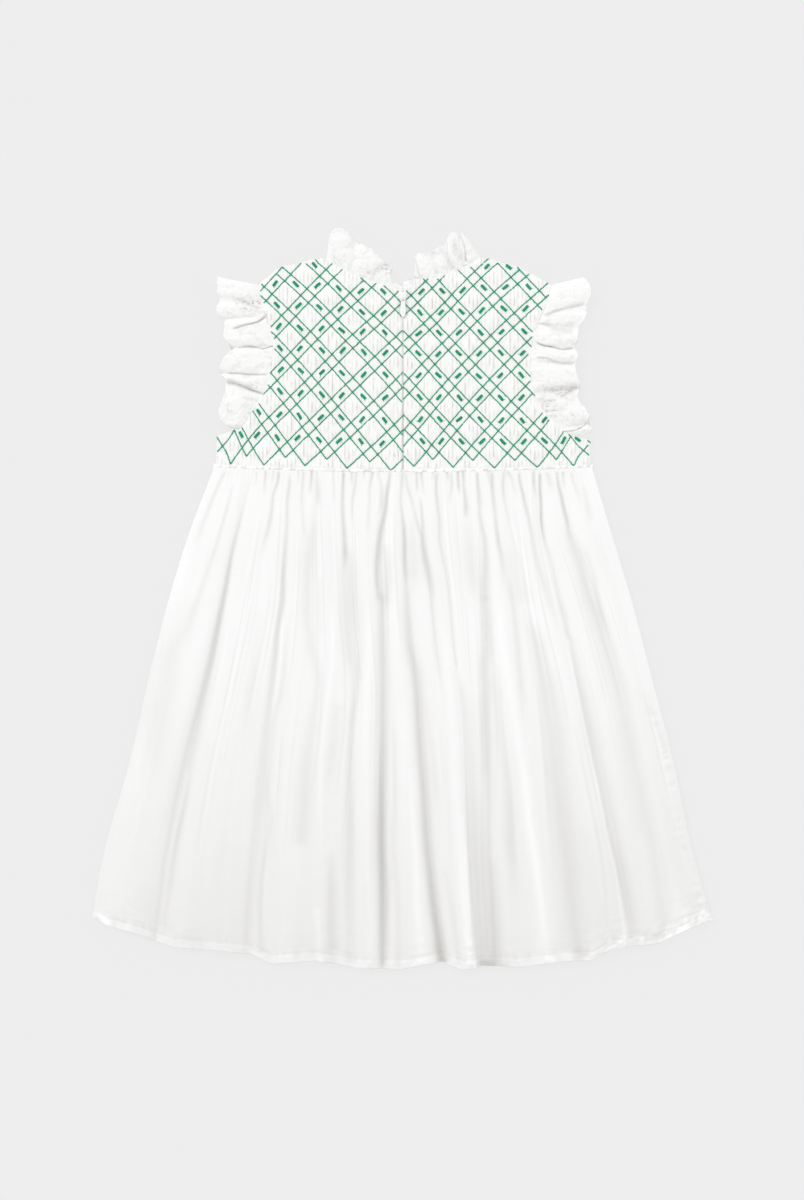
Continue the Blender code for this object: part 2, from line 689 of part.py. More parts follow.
def union_with(thing, name, mesh, cutters):
    """Fuse a mesh to an object."""
    add_boolean(thing, tool_body(name, mesh, cutters), "UNION")


def zip_heights():
    """Top of the tape, underside of the cloth, top of the cloth beside the zip."""
    cloth_low = LAYER + BODICE_LIFT
    return cloth_low - GAP, cloth_low, cloth_low + WALL


def zip_tape(collection, cutters):
    """Tape under both halves, with the closed coil standing up between them."""
    tape_top, _, cloth_top = zip_heights()
    low_y = waist_y(0.0) + GAP / 2
    half = ZIP_TAPE_WIDTH / 2
    tape_low = tape_top - ZIP_TAPE_THICK
    tape = add_object("zip_tape", box_mesh("zip_tape", (-half, low_y, tape_low),
                                           (half, ZIP_TOP_Y, tape_top)), collection)
    coil_half = ZIP_COIL_WIDTH / 2
    coil_end = SLIDER_Y - SLIDER_LENGTH / 2 - GAP
    coil = box_mesh("zip_coil_shape", (-coil_half, low_y + 0.5, tape_top - 0.4),
                    (coil_half, coil_end, cloth_top - 0.1))
    union_with(tape, "zip_coil_shape", coil, cutters)
    return tape


def pivot_height():
    _, _, cloth_top = zip_heights()
    return cloth_top + GAP + SLIDER_THICK + GAP + BAR_RADIUS


def bail_mesh():
    """Half-ring over the pull tab's bar, with its legs down in the slider."""
    _, _, cloth_top = zip_heights()
    foot = cloth_top + GAP + SLIDER_THICK - 0.4
    centre = pivot_height()
    steps = 8
    outline = [(-BAIL_OUTER, foot)]
    outline += [(-BAIL_OUTER * math.cos(math.pi * step / steps),
                 centre + BAIL_OUTER * math.sin(math.pi * step / steps)) for step in range(steps + 1)]
    outline += [(BAIL_OUTER, foot), (BAIL_INNER, foot)]
    outline += [(BAIL_INNER * math.cos(math.pi * step / steps),
                 centre + BAIL_INNER * math.sin(math.pi * step / steps)) for step in range(steps + 1)]
    outline += [(-BAIL_INNER, foot)]
    bm = bmesh.new()
    side = [bm.verts.new((-BAIL_WIDTH / 2 * MM, (PIVOT_Y + y) * MM, z * MM)) for y, z in outline]
    face = bm.faces.new(side)
    grown = bmesh.ops.extrude_face_region(bm, geom=[face])
    moved = [item for item in grown["geom"] if isinstance(item, bmesh.types.BMVert)]
    bmesh.ops.translate(bm, vec=(BAIL_WIDTH * MM, 0.0, 0.0), verts=moved)
    bmesh.ops.recalc_face_normals(bm, faces=bm.faces[:])
    return mesh_from_bmesh("zip_bail_shape", bm)


def zip_slider(collection, cutters):
    """Slider plate on the cloth, its stem down between the halves, and its bail."""
    tape_top, _, cloth_top = zip_heights()
    half_length = SLIDER_LENGTH / 2
    low = (-SLIDER_WIDTH / 2, SLIDER_Y - half_length, cloth_top + GAP)
    high = (SLIDER_WIDTH / 2, SLIDER_Y + half_length, cloth_top + GAP + SLIDER_THICK)
    slider = add_object("zip_slider", box_mesh("zip_slider", low, high), collection,
                        (0.90, 0.90, 0.89), 0.45)
    stem = box_mesh("zip_stem_shape", (-0.55, low[1] + 0.4, tape_top + GAP),
                    (0.55, ZIP_TOP_Y - 1.6, low[2] + 0.4))
    union_with(slider, "zip_stem_shape", stem, cutters)
    union_with(slider, "zip_bail_shape", bail_mesh(), cutters)
    return slider


def pull_outline():
    """Tear-drop tab in plan about its axis: (x, y), with y running down to the tip."""
    tip_radius = PULL_HALF_WIDTH
    tip_centre = PULL_LENGTH - tip_radius
    points = [(-PULL_HALF_NECK, BAR_RADIUS)]
    for step in range(9):
        turn = math.pi * (1 + step / 8)
        points.append((tip_radius * math.cos(turn), -tip_centre + tip_radius * math.sin(turn)))
    points.append((PULL_HALF_NECK, BAR_RADIUS))
    return points


def zip_pull(collection, cutters):
    """Tear-drop pull tab; its eye goes round the bail, and its bar turns in it."""
    mesh = prism_mesh("zip_pull", pull_outline(), -PULL_THICK / 2, PULL_THICK / 2, collection)
    pull = add_object("zip_pull", mesh, collection, (0.95, 0.95, 0.94), 0.4)
    pull.location = (0.0, PIVOT_Y * MM, pivot_height() * MM)
    eye_half = BAIL_WIDTH / 2 + GAP
    eye = box_mesh("zip_eye_cut", (-eye_half, PIVOT_Y - BAIL_OUTER - GAP - 0.25, pivot_height() - 2.0),
                   (eye_half, PIVOT_Y - BAR_RADIUS, pivot_height() + 2.0))
    add_boolean(pull, tool_body("zip_eye_cut", eye, cutters), "DIFFERENCE")
    return pull


def build_dress():
    clear_scene()
    dress = new_collection("toddler_dress")
    cutters = new_collection("cutters")
    front_skirt(dress)
    front_bodice(dress)
    back_skirt(dress)
    smocked_half("back_bodice_left", -1, SIDE_TOP_LEFT_Y, ARMHOLE_LEFT, SHOULDER_LEFT, NECK_LEFT,
                 dress, cutters)
    smocked_half("back_bodice_right", 1, SIDE_TOP_RIGHT_Y, ARMHOLE_RIGHT, SHOULDER_RIGHT, NECK_RIGHT,
                 dress, cutters)
    neck_frill(dress)
    armhole_frill("armhole_frill_left", ARMHOLE_LEFT, -1, dress)
    armhole_frill("armhole_frill_right", ARMHOLE_RIGHT, 1, dress)
    zip_tape(dress, cutters)
    zip_slider(dress, cutters)
    zip_pull(dress, cutters)
    for thing in dress.objects:
        if thing.type == "MESH":
            thing.data.shade_smooth()


build_dress()
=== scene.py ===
"""Looks for the toddler dress: finer cloth shells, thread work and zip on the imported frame.

Sizes and tables are in millimetres, in the frame of the CAD part, and every mesh is written in
metres. The dress lies on its front, so the pieces seen from above are its back.
"""
import json
import math
from collections import namedtuple

import bmesh
import bpy
import numpy as np
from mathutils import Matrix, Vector

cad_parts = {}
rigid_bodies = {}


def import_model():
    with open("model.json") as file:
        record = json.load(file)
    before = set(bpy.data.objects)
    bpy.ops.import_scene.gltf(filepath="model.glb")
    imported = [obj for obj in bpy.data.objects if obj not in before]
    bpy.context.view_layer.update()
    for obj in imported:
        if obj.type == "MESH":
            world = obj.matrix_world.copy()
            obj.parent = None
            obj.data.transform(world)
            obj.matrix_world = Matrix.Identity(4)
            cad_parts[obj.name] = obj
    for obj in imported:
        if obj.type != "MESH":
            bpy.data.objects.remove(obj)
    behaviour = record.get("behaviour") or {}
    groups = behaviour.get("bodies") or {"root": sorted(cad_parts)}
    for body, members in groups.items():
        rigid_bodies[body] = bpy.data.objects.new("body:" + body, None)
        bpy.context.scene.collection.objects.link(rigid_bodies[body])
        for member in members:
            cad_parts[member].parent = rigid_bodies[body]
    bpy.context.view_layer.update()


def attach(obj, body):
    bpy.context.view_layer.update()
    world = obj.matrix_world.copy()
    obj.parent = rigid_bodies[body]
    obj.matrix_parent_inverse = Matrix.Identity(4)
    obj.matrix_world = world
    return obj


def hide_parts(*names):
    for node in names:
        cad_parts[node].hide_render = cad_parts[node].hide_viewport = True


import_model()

MM = 0.001

# ---- sizes shared with the CAD part, in millimetres ----
LAYER = 1.5
WALL = 1.2
GAP = 0.3
WAIST_Y = 92.6
WAIST_RISE = 3.6
HALF_WAIST = 134.6
SIDE_TOP = {-1: (134.0, 117.5), 1: (134.0, 114.6)}
BODICE_LIFT = 2.4
PLEAT_PITCH = 2.948
PLEAT_START = 0.5
FOLD_LEVEL = 2.4
ZIP_TOP_Y = 221.5
PIVOT_Y = 216.0
PIVOT_Z = 7.1
SLIDER_Y = 217.3

# ---- sizes of the finer cloth, in millimetres ----
ZIP_EDGE = 0.04  # from the centre line to the edge of each half
WAIST_LAP = 0.2  # how far the bodice reaches over the waist seam
LIP_REACH = 3.0  # how far the lip of a crease spreads from it
CREASE_MEETING = 6.0  # length over which a crease fades where it meets the next one
WAIST_CREASE_Y = 84.0  # a crease that starts above this comes from the waist
HEM_CREASE_Y = -235.0  # a crease that ends below this runs out at the hem

# ---- shares and counts ----
CHANNEL_SWELL = 0.10  # low swell between a pair of threads, against the wide one
STRONG_SHADE = 0.15  # a crease whose end is darker than this meets another crease there
SOFT_START, SOFT_END = 0.09, 0.35
WAIST_START, HEM_END = 0.03, 0.02
PLEATS_IN_HALF = 46
STEPS_IN_PLEAT = 8
FINE_LINES = 90
GATHER_LENGTHS = 60  # the lengths of the gathers repeat after so many

FrillRow = namedtuple("FrillRow", "seam_out seam_y edge_out edge_y lift")
ARMHOLE_LEFT = [FrillRow(*row) for row in (
    (117.5, 122.6, 123.5, 123.2, 0.5), (113.8, 125.8, 129.5, 127.0, 2.2),
    (109.5, 133.5, 132.8, 134.3, 4.4), (105.1, 141.5, 129.0, 144.7, 2.8),
    (100.6, 147.6, 127.4, 154.8, 0.1), (98.3, 154.6, 128.8, 159.2, 1.9),
    (96.8, 161.0, 131.6, 162.6, 0.2), (95.2, 168.0, 131.2, 169.6, 4.2),
    (94.0, 176.0, 126.5, 176.8, 3.0), (93.6, 182.2, 122.6, 181.0, 0.0),
    (94.8, 189.5, 128.5, 187.6, 3.8), (96.6, 197.3, 128.5, 196.6, 3.2),
    (98.4, 203.8, 129.0, 201.0, 0.3), (99.9, 208.3, 134.2, 206.6, 3.6),
    (101.5, 212.6, 132.0, 214.8, 0.6), (103.0, 218.4, 134.0, 221.6, 4.6),
    (104.2, 223.6, 133.8, 228.0, 3.0), (104.7, 225.4, 133.4, 231.0, 0.0))]
ARMHOLE_RIGHT = [FrillRow(*row) for row in (
    (122.5, 117.2, 134.4, 119.2, 0.8), (117.4, 119.4, 135.8, 122.8, 3.0),
    (113.0, 122.6, 133.2, 126.0, 0.3), (107.3, 129.3, 134.3, 131.5, 4.2),
    (101.6, 135.2, 130.2, 138.6, 3.4), (97.2, 142.0, 125.6, 145.2, 2.2),
    (94.2, 149.2, 127.4, 151.4, 0.0), (92.3, 157.0, 127.2, 157.4, 2.8),
    (91.4, 164.0, 124.4, 163.6, 3.6), (91.4, 170.2, 124.6, 168.6, 0.3),
    (91.7, 176.0, 126.6, 174.4, 3.3), (92.6, 183.0, 124.0, 180.2, 0.2),
    (94.4, 190.4, 126.0, 187.4, 3.6), (96.8, 198.4, 127.0, 194.6, 0.4),
    (99.6, 204.6, 131.2, 202.6, 4.0), (102.2, 210.4, 132.4, 210.8, 0.7),
    (104.2, 217.0, 136.0, 220.6, 4.6), (106.2, 223.0, 133.0, 228.4, 3.0),
    (106.8, 225.2, 130.8, 231.0, 0.0))]
NECK_LEFT = [FrillRow(*row) for row in (
    (0.4, 222.6, 0.7, 225.0, 0.4), (2.6, 223.2, 4.4, 226.4, 0.8), (6.2, 223.9, 9.6, 231.0, 1.4),
    (12.5, 225.5, 7.8, 237.4, 2.6), (15.6, 226.5, 11.2, 240.8, 2.4),
    (18.8, 227.6, 15.0, 243.6, 3.6), (24.2, 229.3, 19.4, 248.4, 5.6),
    (31.0, 231.6, 25.4, 253.2, 4.8), (37.2, 234.2, 34.0, 257.2, 2.2),
    (42.0, 237.0, 39.6, 263.4, 4.4), (47.2, 239.8, 46.4, 266.4, 6.0),
    (51.0, 242.6, 50.2, 265.0, 3.4), (54.0, 244.8, 51.6, 263.4, 0.0))]
NECK_RIGHT = [FrillRow(*row) for row in (
    (0.4, 223.4, 0.6, 228.2, 0.4), (2.4, 224.8, 2.4, 229.8, 0.8), (6.2, 227.8, 8.2, 232.2, 0.6),
    (10.8, 230.4, 9.4, 246.6, 1.6), (15.6, 231.0, 14.6, 248.4, 4.4),
    (20.6, 231.4, 19.8, 247.6, 2.0), (25.2, 232.0, 23.4, 252.4, 2.6),
    (30.6, 233.2, 30.0, 254.2, 5.0), (34.6, 234.6, 31.6, 257.8, 2.0),
    (38.2, 235.9, 33.8, 262.2, 4.2), (41.8, 237.6, 38.4, 262.6, 4.0),
    (45.2, 239.4, 40.2, 261.6, 1.2), (48.8, 241.4, 42.4, 263.8, 5.2),
    (52.6, 243.8, 43.6, 264.0, 3.2), (55.2, 245.6, 44.8, 263.2, 0.0))]
NECK_FRONT = [FrillRow(*row) for row in (
    (53.3, 238.0, 48.5, 254.5, 0.0), (50.5, 226.0, 43.5, 243.5, 0.0),
    (44.0, 213.5, 36.0, 230.5, 0.0), (33.0, 203.5, 26.5, 221.5, 0.0),
    (17.5, 197.5, 14.0, 216.5, 0.0))]
NECK_FRONT_CENTRE = FrillRow(0.0, 195.5, 0.0, 215.0, 0.0)
ARMHOLE = {-1: ARMHOLE_LEFT, 1: ARMHOLE_RIGHT}
NECK = {-1: NECK_LEFT, 1: NECK_RIGHT}
SHOULDER = {
    -1: ((58.6, 245.6), (65.0, 245.2), (72.0, 242.4), (88.0, 239.8), (96.5, 232.8), (103.4, 227.4)),
    1: ((57.6, 246.0), (63.0, 245.2), (70.0, 242.4), (82.5, 239.8), (95.0, 232.8), (105.4, 227.0))}

# The skirt's lines run from the waist to the hem: its sides and the troughs of its main folds.
# Billow is how far the cloth stands up between this line and the next one, and lip how far the
# cloth on the left of the line stands over it, as at the edge of a fold that lies over.
STATIONS = (93.0, 50.0, 0.0, -60.0, -120.0, -180.0, -250.0)
SkirtLine = namedtuple(
    "SkirtLine", "name gathers depth_waist depth_hem width_left width_right billow lip x_at")
SKIRT_LINES = [
    SkirtLine("side_left", 5, 0.0, 0.0, 1.0, 1.0, 1.0, 0.0,
              (-136.8, -153.3, -168.8, -184.0, -197.8, -214.9, -227.6)),
    SkirtLine("a", 6, 1.2, 1.4, 3.0, 7.0, 1.2, 0.2, (-110.6, -118.5, -128.9, -141.8, -157.0, -168.8, -178.2)),
    SkirtLine("b", 7, 0.7, 1.0, 3.0, 7.0, 1.1, 0.1, (-80.6, -83.1, -86.6, -93.8, -102.0, -107.4, -112.2)),
    SkirtLine("c", 6, 0.9, 1.2, 8.0, 4.0, 1.2, 0.0, (-43.2, -42.5, -41.0, -34.9, -36.7, -38.0, -37.2)),
    SkirtLine("d", 2, 1.1, 2.2, 4.0, 4.0, 1.0, 0.2, (-9.6, -15.4, -14.2, -13.0, -13.6, -14.0, -13.6)),
    SkirtLine("e", 4, 1.0, 2.2, 3.0, 5.0, 1.1, 0.2, (0.2, 1.2, 5.0, 10.4, 14.4, 18.8, 27.2)),
    SkirtLine("f", 7, 0.6, 0.8, 2.5, 16.0, 1.2, 0.12, (23.6, 26.8, 33.8, 39.8, 44.4, 47.3, 51.2)),
    SkirtLine("g", 3, 1.0, 1.4, 6.0, 8.0, 1.0, 0.0, (57.2, 59.0, 59.9, 60.5, 62.1, 63.7, 66.5)),
    SkirtLine("h", 3, 0.2, 1.4, 6.0, 9.0, 1.1, 0.0, (79.0, 84.0, 90.5, 102.6, 110.8, 118.6, 128.4)),
    SkirtLine("i", 4, 0.9, 1.1, 2.5, 10.0, 1.2, 0.2, (97.6, 100.2, 112.6, 125.4, 137.2, 150.2, 162.7)),
    SkirtLine("j", 5, 1.0, 0.8, 6.0, 9.0, 1.0, 0.0, (111.5, 120.5, 138.0, 155.6, 168.5, 181.5, 193.5)),
    SkirtLine("side_right", 0, 0.0, 0.0, 1.0, 1.0, 0.0, 0.0,
              (136.8, 149.7, 164.6, 180.4, 195.9, 208.7, 229.2))]

# Creases in the cloth, walked from their start to their end. Depth, half width and painted shade stand at
# even steps of the path, and a ridge has a negative depth. Lean is the share of the width on the left
# of the walk, and lip is how far the cloth on the left stands over the crease. The crease fades in
# and out over two shares of its length. Most of these rows were turned into millimetres and printed
# by another program, and some of their places follow a list of dark lines that a program had found.
Crease = namedtuple("Crease", "path depth wide shade lean lip fade", defaults=(0.5, 0.0, (0.03, 0.06)))


def skirt_fades(path, shades):
    """A crease starts sharp at the waist and runs out at the hem, and one that is still strong at an
    end meets the next one there; elsewhere it comes and goes softly."""
    length = sum(math.dist(first, second) for first, second in zip(path, path[1:]))
    start, end = SOFT_START, SOFT_END
    if shades[0] > STRONG_SHADE:
        start = CREASE_MEETING / length
    if path[0][1] > WAIST_CREASE_Y:
        start = WAIST_START
    if shades[-1] > STRONG_SHADE:
        end = CREASE_MEETING / length
    if path[-1][1] < HEM_CREASE_Y:
        end = HEM_END
    return start, end


SKIRT_CREASES = [Crease(*row, fade=skirt_fades(row[0], row[3])) for row in (
    # gathers at the waist, from left to right
    (((-127.4, 92.2), (-131.8, 84.2), (-136.8, 72.7), (-146.2, 48.2), (-152.6, 30.2)),
     (0.4, 0.3, 0.2), (0.9, 1.6, 2.6), (0.22, 0.26, 0.2, 0.14)),
    (((-121.7, 84.2), (-125.3, 69.8), (-129.6, 54), (-133.9, 38.9), (-140.4, 19.4), (-149.8, -7.9),
      (-158.4, -36.7)),
     (0.4, 0.3, 0.2, 0.2), (0.9, 1.3, 2, 2.8), (0.14, 0.33, 0.26, 0.18, 0.14, 0.12, 0.1)),
    (((-105.1, 91.4), (-105.8, 81.4)), (0.3, 0.2), (0.9, 0.9), (0.2, 0.1)),
    (((-98.6, 92.2), (-99.4, 81.4), (-100.1, 71.3)), (0.5, 0.3), (0.9, 1), (0.5, 0.3, 0.08)),
    (((-92.9, 92.2), (-94.3, 80.6)), (0.4, 0.2), (0.8, 0.8), (0.3, 0.12)),
    (((-89.3, 92.2), (-90, 84.2), (-92.9, 75.6), (-94.3, 62.6), (-95.8, 54), (-98.6, 42.5),
      (-103.7, 26.6)), (0.9, 0.7, 0.3), (0.9, 1.1, 1.3, 2.4), (0.62, 0.36, 0.42, 0.3, 0.1)),
    (((-74.9, 92.2), (-74.9, 81.4)), (0.3, 0.2), (0.8, 0.8), (0.24, 0.08)),
    (((-71.3, 92.2), (-72, 79.9), (-72.7, 69.8), (-71.3, 54), (-71.3, 33.8)),
     (0.5, 0.4, 0.3), (0.9, 1.4, 1, 1.2), (0.34, 0.26, 0.2, 0.22, 0.08)),
    (((-65.5, 92.2), (-66.2, 82.8), (-67.7, 72)), (0.8, 0.3), (0.9, 1), (0.66, 0.36, 0.05)),
    (((-61.9, 92.2), (-61.2, 78.5), (-60.5, 62.6)), (0.4, 0.3), (0.9, 1.3, 1.8), (0.22, 0.32, 0.12)),
    (((-50.4, 92.2), (-49.7, 78.5), (-49.7, 65.5)), (0.4, 0.3), (0.8, 1), (0.28, 0.24, 0.08)),
    (((-42.5, 92.2), (-43.2, 75.6), (-43.2, 62.6), (-41.8, 42.5), (-41.8, 26.6), (-43.2, 10.8)),
     (0.9, 0.9, 0.6), (0.9, 1.3, 1.5, 1.9), (0.66, 0.46, 0.5, 0.56, 0.14)),
    (((-36.7, 92.2), (-36.7, 79.9)), (0.7, 0.3), (0.8, 0.9), (0.54, 0.2)),
    (((-33.1, 92.2), (-34.6, 79.9), (-36, 71.3), (-36, 46.8)),
     (0.6, 0.3), (0.9, 1.1, 1.3), (0.38, 0.38, 0.22, 0.08)),
    (((-28.1, 92.2), (-28.1, 83.5)), (0.4, 0.2), (0.8, 0.8), (0.32, 0.08)),
    (((-21.6, 92.2), (-23.8, 78.5), (-23.8, 67.7), (-24.5, 56.9), (-23.8, 38.9)),
     (0.7, 0.3), (0.9, 1.2, 2.2), (0.54, 0.26, 0.2, 0.18, 0.06)),
    (((-18, 91.4), (-15.1, 79.9), (-15.1, 69.8), (-15.8, 56.9)),
     (0.5, 0.4), (0.9, 1.1, 1.8), (0.22, 0.3, 0.34, 0.14)),
    (((-8.6, 92.2), (-10.1, 82.8), (-11.5, 74.2), (-12.2, 65.5), (-13.7, 58.3), (-15.8, 48.2),
      (-17.3, 36.7), (-18.7, 23.8), (-18.7, 12.2), (-16.6, -3.6)),
     (0.9, 1.1, 0.8, 0.4), (0.9, 1.1, 1.6, 2, 1.6, 1.8), (0.34, 0.64, 0.66, 0.62, 0.54, 0.56, 0.5, 0.22)),
    (((0, 92.2), (-0.7, 79.9), (-1.4, 69.8), (-0.7, 62.6), (0.7, 52.6), (1.4, 41), (1.4, 28.1),
      (2.9, 7.9)), (0.8, 0.6, 0.9, 0.6), (0.9, 1, 1.4, 1.8), (0.56, 0.22, 0.26, 0.56, 0.58, 0.5, 0.24)),
    (((2.2, 90), (3.6, 79.9), (6.5, 69.8), (9, 60.5), (11.5, 49.7), (13.7, 41.8)),
     (0.5, 0.6, 0.3), (0.9, 1.1, 1.1), (0.24, 0.34, 0.2, 0.42, 0.2)),
    (((10.1, 92.2), (10.1, 82.8), (10.8, 74.2)), (0.6, 0.3), (0.9, 1), (0.36, 0.46, 0.16)),
    (((13, 92.2), (14.4, 81.4), (15.1, 72)), (0.8, 0.3), (0.9, 0.9), (0.6, 0.3, 0.1)),
    (((11.5, 76.3), (13, 69.8), (13.7, 62.6), (14.4, 54), (14.4, 42.5), (15.8, 31), (18.7, 16.6),
      (21.6, -2.2)),
     (0.5, 0.9, 1.1, 0.5), (0.9, 1.1, 1.8, 2.4, 2), (0.1, 0.44, 0.48, 0.66, 0.58, 0.42, 0.22)),
    (((24.5, 92.2), (23.8, 78.5), (25.2, 65.5), (26.6, 54), (26.6, 41.8), (28.8, 30.2), (31, 19.4),
      (33.8, -0.7), (36, -29.5), (38.9, -52.6)),
     (0.8, 0.6, 0.4, 0.3), (0.9, 1.1, 1.1, 0.9, 0.9), (0.5, 0.44, 0.32, 0.22, 0.2, 0.2, 0.18, 0.2), 0.6),
    (((21.6, 92.2), (22.3, 83.5)), (0.5, 0.2), (0.8, 0.8), (0.4, 0.1)),
    (((31.7, 92.2), (33.1, 81.4)), (0.7, 0.3), (0.9, 0.9), (0.56, 0.16)),
    (((34.6, 91.4), (35.3, 81.4), (33.8, 72.7), (34.6, 61.2)),
     (0.5, 0.3), (0.9, 1), (0.26, 0.38, 0.12, 0.06)),
    (((39.6, 92.2), (40, 82.8), (41, 72.7)), (0.9, 0.4), (0.9, 0.9), (0.64, 0.62, 0.12)),
    (((43.2, 92.2), (43.9, 84.2), (44.3, 77), (45.4, 68.4), (45.4, 59.8), (46.1, 51.8)),
     (0.9, 0.9, 0.4), (0.9, 1.1, 1.6, 2), (0.7, 0.44, 0.56, 0.56, 0.14)),
    (((53.3, 92.2), (54, 82.8), (54.7, 75.6), (55.4, 68.4), (55.4, 61.2), (56.9, 52.6), (59, 42.5),
      (59.8, 31), (59.8, 15.1), (59, -3.6)),
     (0.8, 0.5, 0.6, 0.4), (0.9, 1.4, 1.3, 1.6, 2.8, 3.2), (0.6, 0.52, 0.3, 0.4, 0.38, 0.38, 0.32, 0.34)),
    (((61.2, 92.2), (62.6, 84.2), (64.1, 76.3)), (0.4, 0.2), (0.9, 0.9), (0.36, 0.14)),
    (((64.1, 92.2), (64.8, 75.6), (65.5, 68.4), (66.2, 62.6), (67, 54), (68.4, 42.5), (70.6, 31),
      (72.7, 17.3), (74.2, -0.7)),
     (0.9, 0.8, 0.4), (0.9, 1.3, 1.3, 1.8, 2.6), (0.62, 0.54, 0.36, 0.54, 0.32, 0.26, 0.1)),
    (((72.7, 92.2), (72, 79.9), (73.4, 69.8), (75.6, 59.8), (77.8, 49.7), (80.6, 38.9), (84.2, 26.6),
      (88.6, 12.2)), (0.6, 0.4, 0.3), (0.9, 1.1, 1.4), (0.42, 0.46, 0.22, 0.16, 0.16, 0.14, 0.06)),
    (((75.6, 92.2), (78.5, 85.7), (80.6, 77), (82.1, 67)), (0.5, 0.2), (1, 1.4), (0.44, 0.28, 0.14, 0.05)),
    (((83.5, 92.2), (84.2, 84.2), (86.4, 75.6), (87.8, 68.4), (89.3, 61.9), (91.4, 54), (93.6, 42.5),
      (95.8, 31), (99.4, 17.3), (103, 5), (108.7, -13.7), (114.5, -33.1)),
     (0.8, 0.8, 0.5, 0.3), (0.9, 1.2, 1.6, 1.9, 2.3, 2), (0.42, 0.6, 0.36, 0.28, 0.26, 0.22, 0.18, 0.08)),
    (((94.3, 92.2), (94.3, 82.8), (95, 77), (96.5, 69.1)), (0.8, 0.3), (0.9, 0.9), (0.44, 0.6, 0.26, 0.08)),
    (((98.6, 92.2), (98.6, 78.5), (99.4, 68.4), (99.4, 59.8), (100.1, 51.1), (102.2, 41), (105.8, 29.5),
      (108.7, 17.3), (112.3, 0.7), (116.6, -15.1), (119.5, -31)),
     (1, 0.9, 0.4, 0.4), (0.9, 1, 1, 1.3, 1.7, 1.5), (0.64, 0.7, 0.66, 0.24, 0.2, 0.22, 0.28, 0.3), 0.6),
    (((103.7, 91.4), (105.8, 84.2), (108, 76.3)), (0.3, 0.3), (1, 2.4), (0.34, 0.18)),
    (((110.9, 92.2), (112.3, 81.4), (114.5, 72.7), (115.9, 65.5), (117.4, 59.8), (118.8, 52.6),
      (121, 42.5)), (0.7, 1, 0.5), (0.9, 1.1, 1.3, 2), (0.36, 0.56, 0.66, 0.56, 0.2)),
    (((115.2, 92.2), (116.6, 77.8)), (0.7, 0.3), (0.9, 0.9), (0.52, 0.1)),
    (((121, 91.4), (123.8, 81.4), (126.7, 74.2), (128.9, 65.5)), (0.5, 0.2), (1, 1.4), (0.3, 0.22, 0.08)),
    (((129.6, 82.8), (132.5, 69.8), (133.9, 62.6), (136.1, 51.1)),
     (0.4, 0.3), (1.2, 1.8), (0.1, 0.22, 0.1)),
    # folds further down, and those that run on to the hem
    (((-109.4, 90), (-112.3, 75.6), (-117.4, 54), (-123.1, 31), (-127.4, 6.5), (-131.8, -15.1),
      (-137.5, -43.9), (-142.6, -65.5), (-150.5, -101.5), (-158.4, -137.5), (-164.9, -173.5),
      (-168.5, -195.1), (-175, -227.5), (-178.6, -247)),
     (0.4, 0.8, 0.2, 0, 0, 0), (0.9, 1.2, 1.8, 2.6, 3.8, 4.4, 4.4, 4),
     (0.08, 0.28, 0.46, 0.56, 0.48, 0.36, 0.26, 0.16, 0.08, 0.03), 0.42),
    (((-152.6, -130.3), (-158.4, -155.5), (-162.7, -173.5), (-166.3, -198.7), (-173.5, -247.7)),
     (0.3, 0.3), (1.6, 2), (0.08, 0.2, 0.2, 0.14, 0.06)),
    (((-81.4, 92.2), (-81.4, 84.2), (-82.8, 71.3), (-82.8, 54), (-84.2, 35.3), (-85.7, 17.3),
      (-86.4, -2.2), (-89.3, -18.7), (-92.2, -51.1), (-95.8, -83.5), (-97.9, -101.5), (-101.5, -137.5),
      (-105.1, -177.1), (-110.2, -227.5), (-112.3, -257)),
     (0.6, 0.5, 0.3, 0, 0, 0), (0.9, 1.2, 1.7, 2, 2.3, 2.8, 3.4, 4),
     (0.5, 0.18, 0.42, 0.32, 0.26, 0.26, 0.26, 0.18, 0.14, 0.1), 0.45),
    (((-82.1, -7.9), (-84.2, -33.1), (-87.1, -65.5), (-91.4, -83.5), (-95, -119.5), (-96.5, -141.1),
      (-95, -159.1), (-97.2, -177.1), (-101.5, -202.3), (-100.8, -257.8)),
     (0.4, 0.4), (1.7, 2), (0.04, 0.14, 0.14, 0.1, 0.14, 0.14, 0.12, 0.12)),
    (((-61.2, 71.3), (-64.8, 42.5), (-67, 17.3), (-67.7, -7.9), (-65.5, -33.1), (-60.5, -58.3),
      (-63.4, -83.5), (-67.7, -112.3), (-70.6, -144.7), (-72.7, -180.7)),
     (0.4, 0.6, 0.5, 0.4), (2.8, 4, 3.2, 3.2, 4.6, 5), (0.14, 0.26, 0.2, 0.16, 0.14, 0.2, 0.22, 0.16), 0.4),
    (((-59, 17.3), (-59, -38.2)), (0.3, 0.3), (1.6, 1.6), (0.1, 0.1)),
    (((-40.3, 42.5), (-38.9, 20.9), (-38.2, -0.7), (-37.4, -29.5), (-35.3, -54.7), (-33.8, -72.7)),
     (0.2, 0.4, 0.4), (2.6, 5, 6.2, 5.5, 4), (0.12, 0.28, 0.3, 0.26, 0.25, 0.1)),
    (((-32.4, -29.5), (-33.1, -65.5), (-35.3, -83.5), (-36.7, -101.5), (-37.4, -137.5), (-37.4, -173.5),
      (-37.4, -205.9), (-36.7, -265)),
     (0.5, 0.6, 0.5), (2, 2.2, 2.6, 3.2, 3.2), (0.06, 0.3, 0.28, 0.26, 0.28, 0.24, 0.18, 0.14), 0.42),
    (((-46.8, -72.7), (-49, -101.5), (-51.8, -123.1), (-53.3, -148.3)),
     (0.3, 0.3), (3.4, 3.4), (0.08, 0.16, 0.05)),
    (((-50.4, -180.7), (-51.1, -205.9), (-51.1, -220.3), (-51.1, -265.7)),
